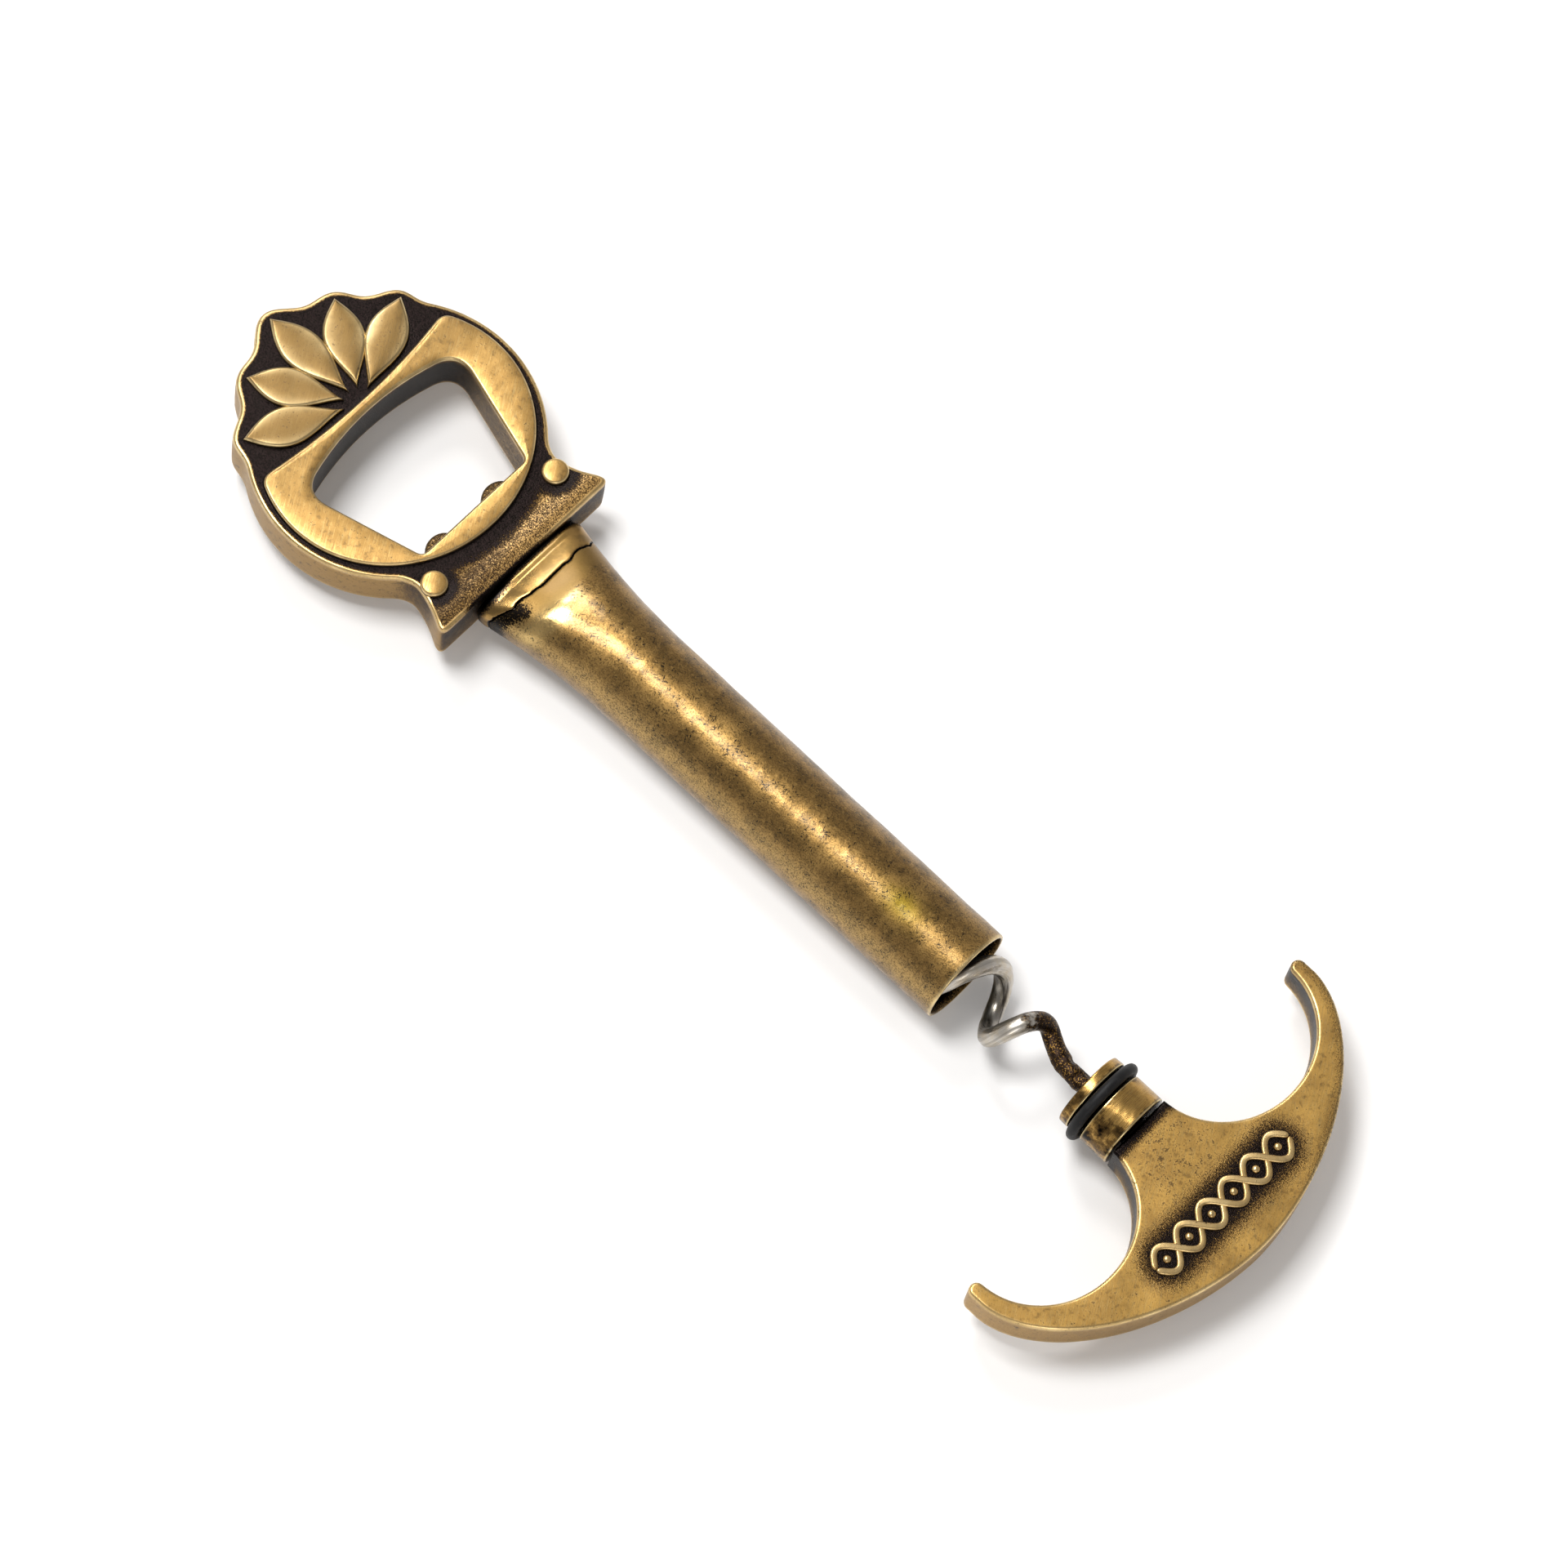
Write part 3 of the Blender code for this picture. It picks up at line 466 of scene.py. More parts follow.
def smooth_profile(corners, radius, count):
    """A profile through corners, each rounded by a quadratic curve of a few points.

    The curve runs between the two points at the radius before and after the corner.
    """
    corners = np.array(corners, float)
    share = np.linspace(0, 1, count)[:, None]
    points = [corners[:1]]
    for before, corner, after in zip(corners, corners[1:], corners[2:]):
        into = before - corner
        out = after - corner
        start = corner + into * min(0.45, radius / np.linalg.norm(into))
        end = corner + out * min(0.45, radius / np.linalg.norm(out))
        points.append((1 - share) ** 2 * start + 2 * share * (1 - share) * corner + share**2 * end)
    points.append(corners[-1:])
    return np.concatenate(points)


def refine(profile, step):
    """Adds points to a profile so that none of its spans is longer than the step."""
    span = np.linalg.norm(np.diff(profile, axis=0), axis=1)
    counts = np.maximum(np.ceil(span / step).astype(int), 1)
    pieces = [np.linspace(a, b, n, endpoint=False) for a, b, n in zip(profile, profile[1:], counts)]
    return np.concatenate([*pieces, profile[-1:]])


# Opener head

HEAD_POINTS = 760
DENSE_POINTS = 7200
HEAD_SEED = 11
PETAL_SEED = 40
PETAL_ROWS = 72
PETAL_COLUMNS = 34
PETAL_DOME = 0.12 * MM
STUD_SIDES = 72
STUD_DOME = 0.22 * MM
LOBE_EDGE = 0.6 * MM

# Rows of points across the parts of the plate's section.
EDGE_ROWS = 7
MOUTH_ROWS = 12
FACE_ROWS = 34
RECESS_ROWS = 30
WALL_ROWS = 10


def ring_centre(head):
    """The ring's centre in the frame: the petals' tip is at the head's far end."""
    return HEAD_LOW.x + head.fan_to_ring + head.centre_reach + head.petal_border


def crest_field(x, y, head):
    """The crest's scalloped edge round the fan's root.

    It is the petals' reach, eased from one to the next, plus a border, less a sine squared dip between.
    """
    along = -(x + head.fan_to_ring)
    turn = np.abs(np.arctan2(y, along)) / head.petal_spacing
    reach = head.centre_reach + (head.middle_reach - head.centre_reach) * ease(turn)
    reach = reach + (head.outer_reach - head.middle_reach) * ease(turn - 1)
    dip = head.crest_dip * np.sin(math.pi * turn) ** 2
    return reach + head.petal_border - dip - np.hypot(along, y)


def shoulder_field(x, y, head):
    """A straight rear edge between two concave flares whose half width grows as a power of the distance."""
    waist_x = head.shoulder_reach - head.shoulder_length
    share = np.clip((x - waist_x) / head.shoulder_length, 0.0, 1.0)
    half = head.waist_half_width + (head.shoulder_half_width - head.waist_half_width) * share**1.7
    body = blend_min(half - np.abs(y), head.shoulder_reach - x, head.tip_round)
    return np.where(x > 0, body, -head.rim_half_width)


def plate_field(x, y, head):
    """The head's outline: the rim oval, the shoulder and the crest, with fillets between them."""
    rim = oval_field(x, y, head.rim_half_length, head.rim_half_width)
    lower = blend_max(rim, shoulder_field(x, y, head), head.waist_fillet)
    return blend_max(lower, crest_field(x, y, head), head.petal_border)


def face_field(x, y, head):
    """The raised face's outline: an oval cut by a shallow bow beside the petals."""
    oval = oval_field(x, y, head.face_half_length, head.face_half_width)
    far_edge = x + head.face_far_edge + head.face_far_bow * (y / head.face_half_width) ** 2
    return blend_min(oval, far_edge, head.face_corner)


def mouth_field(x, y, head):
    """The mouth: a straight near edge, straight sides that spread, and a bowed far edge."""
    share = (head.mouth_near - x) / (head.mouth_near + head.mouth_far)
    half = head.mouth_near_half + (head.mouth_far_half - head.mouth_near_half) * share
    far = x + head.mouth_far - head.mouth_bow * (y / head.mouth_near_half) ** 2
    field = blend_min(half - np.abs(y), far, head.mouth_far_corner)
    return blend_min(field, head.mouth_near - x, head.mouth_near_corner)


def head_curves(head):
    """The mouth, face and outline as arrays (HEAD_POINTS, 2) matched point by point.

    The outline has even spacing. The inner curves follow its angles, smoothed by a sliding mean.
    """
    reach = 2 * head.rim_half_width
    dense = np.linspace(0, 2 * math.pi, DENSE_POINTS + 1)
    line = polar(dense, zero_radius(lambda x, y: plate_field(x, y, head), dense, reach))
    place = np.append(0.0, np.cumsum(np.linalg.norm(np.diff(line, axis=0), axis=1)))
    even = np.arange(HEAD_POINTS) / HEAD_POINTS
    outline = np.stack([np.interp(even * place[-1], place, line[:, i]) for i in (0, 1)], axis=-1)
    drift = np.interp(even * place[-1], place, dense) - even * 2 * math.pi
    window = np.hanning(HEAD_POINTS // 12)
    longer = np.concatenate([drift[-len(window) :], drift, drift[: len(window)]])
    smooth = np.convolve(longer, window / window.sum(), "same")[len(window) : -len(window)]
    angle = even * 2 * math.pi + smooth
    face = polar(angle, zero_radius(lambda x, y: face_field(x, y, head), angle, reach))
    mouth = polar(angle, zero_radius(lambda x, y: mouth_field(x, y, head), angle, reach))
    return mouth, face, outline


def floor_height(x, half, head):
    """Height of the recess over the mid plane: flat, and eased up towards the shoulder's rear edge."""
    rise = ease((x - head.shoulder_reach * 0.8) / (head.shoulder_reach * 0.14))
    return half + head.rear_rise * rise


def rear_groove(points, head):
    """Black left in the groove along the shoulder's rear edge, in its middle and towards -Y."""
    to_rear = head.shoulder_reach - points[..., 0]
    y = points[..., 1]
    left = fade(y, 9 * MM, 0) * fade(y, -14 * MM, -11 * MM)
    return 0.85 * left * fade(to_rear, 1.1 * MM, 0.3 * MM)


def floor_patina(points, face, outline, head):
    """How black the recess is: full beside the raised shapes, fading evenly over the shoulder.

    It is rubbed off at the outer edge, and left in the groove along the shoulder's rear edge.
    """
    x, y = points[..., 0], points[..., 1]
    to_edge = np.linalg.norm(points - outline, axis=-1)
    rubbed = 1 - 0.95 * fade(to_edge, 1.125 * MM, 0.225 * MM)
    beside = fade(np.linalg.norm(points - face, axis=-1), 5.5 * MM, 0.9 * MM)
    bead_x = head.shoulder_reach - head.bead_to_edge
    from_bead = np.hypot(x - bead_x, np.abs(y) - head.bead_spacing / 2) - head.bead_diameter / 2
    near_bead = fade(from_bead, 3.6 * MM, 0.2 * MM)
    least = 0.41 + 0.11 * fade(y, 3 * MM, -9 * MM)
    shoulder = np.maximum(least, np.maximum(beside, near_bead))
    ring_end = head.shoulder_reach * 0.42
    patina = np.minimum(1 + (shoulder - 1) * fade(x, ring_end, ring_end + 4 * MM), rubbed)
    return np.maximum(patina, rear_groove(points, head))


def plate_stations(head):
    """The stations round the plate's section: curve, height, and marks for patina, wear and wall.

    They run up the mouth's wall, over the raised face and the recess, down the outer wall and across the
    back. On an edge of radius R a curve is moved along its normal by R (1 - cos t) and up by R sin t.
    """
    half = AXIS_Z - HEAD_LOW.z
    mouth, face, outline = head_curves(head)
    out_mouth, out_face, out_rim = outward(mouth), outward(face), outward(outline)
    outline = outline - out_rim * head.wall_bulge
    roll, fillet, rim = head.edge_round, head.foot_fillet, head.rim_round
    top = half + head.relief
    edge_top = top - head.crown_depth
    turn = np.linspace(0, math.pi / 2, EDGE_ROWS)
    stations = []

    def put(place, height, patina, wear, wall=0.0):
        stations.append((place, height, patina, wear, wall))

    far = 0.42 + 0.58 * fade(mouth[:, 0], 4 * MM, -7 * MM)
    for t in turn[::-1]:
        put(mouth + out_mouth * roll * (1 - math.cos(t)), -half + roll * (1 - math.sin(t)), 0.1, 0.5)
    for share in np.linspace(0.08, 0.94, MOUTH_ROWS):
        level = -half + roll + (top + half - 2 * roll) * share
        put(mouth, level, far * (1 - 0.7 * fade(share, 0.8, 1.0)), 0.0, 1.0)
    for t in turn:
        place = mouth + out_mouth * roll * (1 - math.cos(t))
        put(place, edge_top - roll * (1 - math.sin(t)), 0.0, math.cos(t) ** 0.5)
    inner, outer = mouth + out_mouth * roll, face - out_face * roll
    for share in ease(np.linspace(0.04, 0.96, FACE_ROWS)):
        place = inner + (outer - inner) * share
        to_side = np.minimum(np.linalg.norm(place - inner, axis=-1), np.linalg.norm(outer - place, axis=-1))
        fall = np.clip(1 - to_side / head.crown_width, 0, 1) ** 2
        put(place, top - head.crown_depth * fall, 0.0, 0.0)
    for t in turn[::-1]:
        place = face - out_face * roll * (1 - math.cos(t))
        put(place, edge_top - roll * (1 - math.sin(t)), 0.0, math.cos(t) ** 0.5)
    for t in turn[::2]:
        level = half + fillet * (1 - math.sin(t))
        put(face + out_face * fillet * (1 - math.cos(t)), level, 1.0, 0.0)
    inner, outer = face + out_face * fillet, outline - out_rim * rim
    for share in np.linspace(0.04, 0.97, RECESS_ROWS):
        place = inner + (outer - inner) * share
        level = floor_height(place[:, 0], half, head)
        put(place, level, floor_patina(place, face, outline, head), 0.0)
    rear = floor_height(outline[:, 0], half, head)
    x, rear_x = outline[:, 0], head.shoulder_reach
    waist_x = rear_x - head.shoulder_length
    waist = 0.62 * fade(x, waist_x - 4 * MM, waist_x) * fade(x, rear_x - 1.5 * MM, rear_x - 5.5 * MM)
    waist = np.maximum(waist, 0.78 * fade(x, rear_x - 1.0 * MM, rear_x - 0.2 * MM))
    for t in turn[::-1]:
        place = outline - out_rim * rim * (1 - math.cos(t))
        groove = np.maximum(0.05, rear_groove(place, head))
        put(place, rear - rim * (1 - math.sin(t)), groove, (0.35 + 0.65 * math.sin(2 * t)) * (1 - groove))
    for share in np.linspace(0.1, 0.9, WALL_ROWS):
        place = outline + out_rim * head.wall_bulge * math.sin(math.pi * share)
        put(place, (rear - rim) * (1 - share) + (roll - half) * share, waist * (1 - 0.5 * share), 0.0, 1.0)
    for t in turn:
        put(outline - out_rim * roll * (1 - math.cos(t)), -half + roll * (1 - math.sin(t)), 0.0, 0.4, 0.6)
    inner, outer = outline - out_rim * roll, mouth + out_mouth * roll
    for share in np.linspace(0.08, 0.92, WALL_ROWS):
        put(inner + (outer - inner) * share, -half, 0.12, 0.0)
    return stations


def make_plate(head, material):
    """The cast plate: its stations side by side, closed into one ring, with a faint cast unevenness."""
    stations = plate_stations(head)
    points = np.empty((HEAD_POINTS, len(stations), 3))
    marks = np.empty((3, HEAD_POINTS, len(stations)))
    for i, (place, height, *values) in enumerate(stations):
        points[:, i, :2] = place
        points[:, i, 2] = height
        for mark, value in zip(marks, values):
            mark[:, i] = value
    # Painted shade that darkens the plate towards the far end of the head.
    dull = 0.55 * fade(points[..., 0], 4 * MM, -9 * MM)
    points += np.array([ring_centre(head), 0, AXIS_Z])
    points[..., 2] += ripple(points, 9 * MM, HEAD_SEED) * 0.010 * MM
    points[..., 2] += ripple(points, 2.6 * MM, HEAD_SEED + 1) * 0.003 * MM
    patina, wear, wall = marks
    item = add_surface(
        "opener_plate",
        points,
        material,
        wrap_rows=True,
        wrap_columns=True,
        merge=False,
        patina=patina,
        wear=wear,
        wall=wall,
        dull=dull,
    )
    seat_piece(item, "opener", "cast_brass", "opener_head")


def petals(head):
    """(angle, reach) of each petal."""
    found = [(0.0, head.centre_reach)]
    for side in (-1, 1):
        found.append((side * head.petal_spacing, head.middle_reach))
        found.append((side * head.petal_spacing * 2, head.outer_reach))
    return found


def make_petal(number, angle, reach, head, material):
    """A raised petal: a strip whose half width is a sine arch, sin(pi s^1.25), fuller near its tip."""
    share = (1 - np.cos(np.linspace(0, math.pi, PETAL_ROWS))) / 2
    half_width = head.petal_half_width * np.sin(math.pi * share**1.25)
    half_width[[0, -1]] = 0.0
    along = np.array([-math.cos(angle), math.sin(angle)])
    across = np.array([math.sin(angle), math.cos(angle)])
    root = np.array([ring_centre(head) - head.fan_to_ring, 0.0])
    path = root + along * (head.petal_root + (reach - head.petal_root) * share)[:, None]
    side = np.broadcast_to(across, path.shape)
    half = AXIS_Z - HEAD_LOW.z
    foot = AXIS_Z + half - 0.5 * head.relief
    high = AXIS_Z + half + head.relief
    top = np.full(len(path), high - PETAL_DOME)
    points = raised_strip(path, side, half_width, top, foot, head.edge_round, PETAL_DOME, PETAL_COLUMNS)
    points[..., 2] += ripple(points, 5 * MM, PETAL_SEED + number) * 0.006 * MM
    drop = (high - points[..., 2]) / head.relief
    item = add_surface(
        f"petal_{number}",
        points,
        material,
        wrap_columns=True,
        patina=ease((drop - 0.55) * 3),
        wear=ease(drop * 6) * fade(drop, 0.70, 0.45),
        # Painted shade over the whole petal, as at the far end of the plate.
        dull=1.0,
    )
    seat_piece(item, "opener", "cast_brass")


def make_stud(name, place, radii, low, high, edge, material, patina_foot, film=0.0):
    """A round or oval stud: a turned profile with a rolled top edge, stretched to its second radius in X.

    Its top is a low dome, whose fall grows as the square of the radius. Its foot is black, and a film of
    patina may cover the rest.
    """
    across, along = radii
    profile = smooth_profile([(high, 0.0), (high, across), (low, across), (low, 0.0)], edge, 8)
    points = turned_surface(refine(profile, 0.3 * MM), STUD_SIDES, (0, 0, 0), "Z")
    radius_share = np.hypot(points[..., 0], points[..., 1]) / across
    points[..., 2] -= STUD_DOME * radius_share**2 * fade(points[..., 2], low, high)
    points[..., 0] *= along / across
    points += np.array([*place, 0.0])
    drop = (high - points[..., 2]) / edge
    item = add_surface(
        name,
        points,
        material,
        wrap_columns=True,
        patina=np.maximum(film, ease((drop - 1.5) * 1.5) * patina_foot),
        wear=ease(drop * 3 - 0.8) * (1 - ease(drop - 1.1)),
    )
    seat_piece(item, "opener", "cast_brass")


def make_studs(head, material):
    """The two beads on the shoulder and the two lobes of the lip under the mouth's straight edge."""
    half = AXIS_Z - HEAD_LOW.z
    centre = ring_centre(head)
    top = AXIS_Z + half + head.relief
    radius = head.bead_diameter / 2
    lip_low = AXIS_Z - half + head.lip_step
    for side, word in ((-1, "right"), (1, "left")):
        bead = (centre + head.shoulder_reach - head.bead_to_edge, side * head.bead_spacing / 2)
        low = AXIS_Z + half - 0.5 * head.relief
        make_stud(f"bead_{word}", bead, (radius, radius), low, top, head.edge_round, material, 1.0)
        lobe = (centre + head.mouth_near, side * head.lobe_spacing / 2)
        radii = (head.lobe_half_width, head.lobe_reach)
        lip_top = lip_low + head.lip_thickness
        make_stud(f"lip_lobe_{word}", lobe, radii, lip_low, lip_top, LOBE_EDGE, material, 0.62, film=0.50)


# Tube and braze

TUBE_AROUND = 176
TUBE_ROWS = 300
BORE_ROWS = 60
LIP_ROWS = 9
BRAZE_ROWS = 26
BRAZE_CORE_ROWS = 8
TUBE_SEED = 23
PITS = 150

# The seam's jags: how often each goes round the tube, its share of SEAM_JAG, and its shift in radians.
SEAM_WAVES = ((3, 0.30, 0.4), (7, 0.20, 2.1), (12, 0.14, 4.0), (19, 0.09, 1.2), (31, 0.05, 5.0))
SEAM_JAG = 0.80 * MM
SEAM_GAP = 0.06 * MM

# Sides of the tube in degrees, from +Y over the top towards -Y, where the camera stands.
SMOOTH_SIDE = 62
RIDGE_BEND_SIDE = 70
POLISHED_SIDE = 128
RIDGE_SIDE = 134
FLARE_SIDE = 150
NEAR_SIDE = 160


def flare_share(x, tube):
    """Share of the flare at x: 0 where the tube is round, rising evenly to 1 at its pressed end."""
    return np.clip((TUBE_END_X + tube.flare_length - x) / tube.flare_length, 0.0, 1.0)


def facing(turn, side, steep, less):
    """How far places round the tube face a side in degrees: steep cos(turn - side) - less, eased."""
    return ease(steep * np.cos(turn - math.radians(side)) - less)


def tube_half_sizes(x, tube):
    """Half width, half thickness and exponent of the tube's outside, by a power of the flare's share."""
    amount = flare_share(x, tube) ** tube.flare_power
    radius = (TUBE_HIGH.z - TUBE_LOW.z) / 2
    width = radius + (tube.flat_width / 2 - radius) * amount
    thickness = radius + (tube.flat_thickness / 2 - radius) * amount
    return width, thickness, 2 + (tube.flat_exponent - 2) * amount


def oval_points(x, turn, half_width, half_thickness, exponent):
    """Points of a superellipse across X: y = a sign(cos) |cos|^(2/n), z = b sign(sin) |sin|^(2/n)."""
    cosine, sine = np.cos(turn), np.sin(turn)
    y = half_width * np.sign(cosine) * np.abs(cosine) ** (2 / exponent)
    z = half_thickness * np.sign(sine) * np.abs(sine) ** (2 / exponent)
    return np.stack(np.broadcast_arrays(x, y, z + AXIS_Z), axis=-1)


def seam_place(turn, tube):
    """Where the brazed seam lies along the tube: a slow sway round it plus small jags, sums of cosines."""
    sway = tube.crack_sway * (0.5 + 0.5 * np.cos(turn - 0.9))
    jag = np.zeros_like(turn)
    for times, size, shift in SEAM_WAVES:
        jag = jag + size * np.cos(times * turn + shift)
    return TUBE_END_X + 0.45 * MM + sway + jag * SEAM_JAG


def tube_grid(end, tube):
    """Place along X and depth in the wall for each point of the tube's closed skin.

    The rows run from the mouth along the outside, round the end that is cut along the seam, back along
    the inside, and round the mouth. Each lip is a half oval, R sin t along X and wall (1 - cos t) / 2 deep.
    """
    lip = tube.wall * 0.42
    crack_lip = 0.14 * MM
    length = end + crack_lip - MOUTH_X + lip
    outside = MOUTH_X - lip + length * np.linspace(0, 1, TUBE_ROWS)[:, None]
    inside = MOUTH_X - lip + length * np.linspace(1, 0, BORE_ROWS)[:, None]
    round_step = np.linspace(0, math.pi, LIP_ROWS)[1:-1, None]
    crack_end = end + crack_lip - crack_lip * np.sin(round_step)
    places = [outside, crack_end, inside, MOUTH_X - lip + lip * np.sin(round_step)]
    fall = tube.wall * (1 - np.cos(round_step)) / 2
    insets = [outside * 0, end * 0 + fall, inside * 0 + tube.wall, end * 0 + fall[::-1]]
    x = np.concatenate([np.broadcast_to(place, (place.shape[0], TUBE_AROUND)) for place in places])
    inset = np.concatenate([np.broadcast_to(value, (value.shape[0], TUBE_AROUND)) for value in insets])
    return x, inset


def ridge_line(turn, tube):
    """Where the ridge of the pressing lies along the tube: a place plus a cosine of the side."""
    return TUBE_END_X + tube.ridge_place + 1.2 * MM * np.cos(turn - math.radians(RIDGE_BEND_SIDE))


def tube_dents(points, x, turn, tube):
    """How deep the skin is pushed in: soft dents and round pits of use, less the raised ridge."""
    dent = ripple(points, 16 * MM, TUBE_SEED) * tube.dent_depth * 0.7
    dent = dent + ripple(points, 6 * MM, TUBE_SEED + 1) * tube.dent_depth * 0.25
    dent = dent * fade(x, TUBE_END_X + 9 * MM, TUBE_END_X + 15 * MM)
    random = np.random.default_rng(TUBE_SEED)
    pit_x = random.uniform(TUBE_END_X + 11 * MM, MOUTH_X, PITS)
    pit_turn = random.uniform(0, 2 * math.pi, PITS)
    pit_width, pit_thickness, pit_exponent = tube_half_sizes(pit_x, tube)
    pit_places = oval_points(pit_x, pit_turn, pit_width, pit_thickness, pit_exponent)
    pit_depth = random.uniform(0.01, 0.05, PITS) * MM
    pit_radius = random.uniform(0.22, 0.45, PITS) * MM
    dent = np.abs(dent) + spots(points, pit_places, pit_radius, pit_depth)
    ridge = bell(x, ridge_line(turn, tube), tube.ridge_width) * facing(turn, RIDGE_SIDE, 2.4, 1.0)
    return dent - tube.ridge_height * ridge


def make_tube(tube, material):
    """The drawn tube as one closed skin, an oval at every place along X, dented along its radius."""
    turn = np.linspace(0, 2 * math.pi, TUBE_AROUND, endpoint=False)[None, :]
    end = seam_place(turn, tube) + SEAM_GAP
    x, inset = tube_grid(end, tube)
    width, thickness, exponent = tube_half_sizes(x, tube)
    points = oval_points(x, turn, width - inset, thickness - inset, exponent)
    centre = np.array([0, 0, AXIS_Z])
    out = points - centre
    out[..., 0] = 0
    out /= np.linalg.norm(out, axis=-1, keepdims=True)
    outer = inset < tube.wall / 2
    points -= out * (tube_dents(points, x, turn, tube) * outer)[..., None]
    behind_seam = x - end
    seam = fade(np.abs(behind_seam), 0.32 * MM, 0) * outer
    deposit = fade(behind_seam, 4.5 * MM, 1.5 * MM) * facing(turn, NEAR_SIDE, 3.0, 1.6)
    tint = bell(x, MOUTH_X - 13 * MM, 3.4 * MM) * bell(points[..., 1], -1.2 * MM, 2.2 * MM)
    to_mouth = MOUTH_X - x
    bore = ease(inset / tube.wall) * (1 - 0.6 * fade(to_mouth, 1.6 * MM, 0))
    item = add_surface(
        "tube",
        points,
        material,
        wrap_rows=True,
        wrap_columns=True,
        merge=False,
        patina=np.maximum(np.maximum(seam, bore), deposit * 0.8),
        wear=fade(to_mouth, 0.7 * MM, 0) * (inset < tube.wall * 0.7),
        flare=flare_share(x, tube) ** 1.5 * (0.3 + 0.7 * facing(turn, FLARE_SIDE, 1.2, -0.4)),
        smooth=fade(behind_seam, 4.8 * MM, 2.6 * MM) * facing(turn, SMOOTH_SIDE, 2.0, 0.5),
        # Polished band on the flare, which the material also lightens, partly as a painted highlight.
        polish=bell(x, ridge_line(turn, tube) + 0.6 * MM, 1.7 * MM) * facing(turn, POLISHED_SIDE, 3.2, 2.0),
        # Painted reflection of the floor: a light band along the tube's near lower side.
        rub=0.38 * bell(turn, math.radians(NEAR_SIDE), math.radians(17)),
        tint=tint * (np.sin(turn) > 0),
    )
    seat_piece(item, "opener", "tube_brass", "tube_sheath")


def make_braze(tube, material):
    """The collar of braze between the shoulder and the wandering seam, a closed ring of cross-sections."""
    turn = np.linspace(0, 2 * math.pi, TUBE_AROUND, endpoint=False)[None, :]
    start = BRAZE_LOW.x - 0.2 * MM
    end = seam_place(turn, tube) - SEAM_GAP
    share = np.linspace(0, 1, BRAZE_ROWS)[:, None]
    x = start + (end - start) * share
    width, thickness, exponent = tube_half_sizes(np.maximum(x, TUBE_END_X), tube)
    lump = ripple(oval_points(x, turn, width, thickness, exponent), 4 * MM, TUBE_SEED + 5)
    swell = 0.08 * MM * np.sin(math.pi * share) ** 0.7 + lump * 0.005 * MM * np.sin(math.pi * share)
    swell = swell - 0.10 * MM * fade(share, 0.94, 1.0) - 0.3 * MM * fade(share, 0.22, 0)
    outside = oval_points(x, turn, width + swell, thickness + swell, exponent)
    back = start + (end - start) * np.linspace(1, 0, BRAZE_CORE_ROWS)[:, None]
    core = 0.9 * MM
    width, thickness, exponent = tube_half_sizes(np.maximum(back, TUBE_END_X), tube)
    inside = oval_points(back, turn, width - core, thickness - core, exponent)
    points = np.concatenate([outside, inside])
    crack = fade(end - x, 0.28 * MM, 0)
    foot = fade(share, 0.22 + 0.5 * facing(turn, NEAR_SIDE, 3.0, 1.4), 0)
    black = np.concatenate([np.maximum(crack, foot), np.ones(back.shape)])
    item = add_surface(
        "braze",
        points,
        material,
        wrap_rows=True,
        wrap_columns=True,
        merge=False,
        patina=black,
        polish=facing(turn, POLISHED_SIDE, 3.2, 2.0),
    )
    seat_piece(item, "opener", "braze", "braze_bead")


# Corkscrew

WORM_ROWS = 620
WORM_SIDES = 40
WORM_SEED = 71
PLUG_SIDES = 120
PLUG_ROUND = 0.32 * MM
PLUG_STEP = 0.16 * MM
PLUG_SEED = 83
RING_SIDES = 144
RING_CORD_SIDES = 28
RING_SEED = 91


def worm_path(screw):
    """The worm's centreline and wire width from its seat in the plug to its point.

    The turn rate eases in to 2 pi / pitch and the radius eases out to half the coil, so the wire leaves
    the axis in one smooth curve. It winds left-handed. The width falls in a straight line to the tip.
    """
    start = -screw.seat
    distance = np.linspace(start, screw.worm_length, WORM_ROWS)
    step = distance[1] - distance[0]
    rate = ease((distance - screw.turn_start) / screw.turn_ease) * 2 * math.pi / screw.pitch
    angle = screw.start_angle + np.cumsum(rate) * step
    radius = screw.coil / 2 * ease((distance - screw.shank) / screw.bend)
    y, z = radius * np.cos(angle), radius * np.sin(angle) + AXIS_Z
    centre = np.stack([PLUG_LOW.x - distance, y, z], axis=-1)
    taper = np.clip((screw.worm_length - distance) / screw.point, 0.0, 1.0)
    width = screw.point_share + (1 - screw.point_share) * taper
    return distance, angle, centre, width


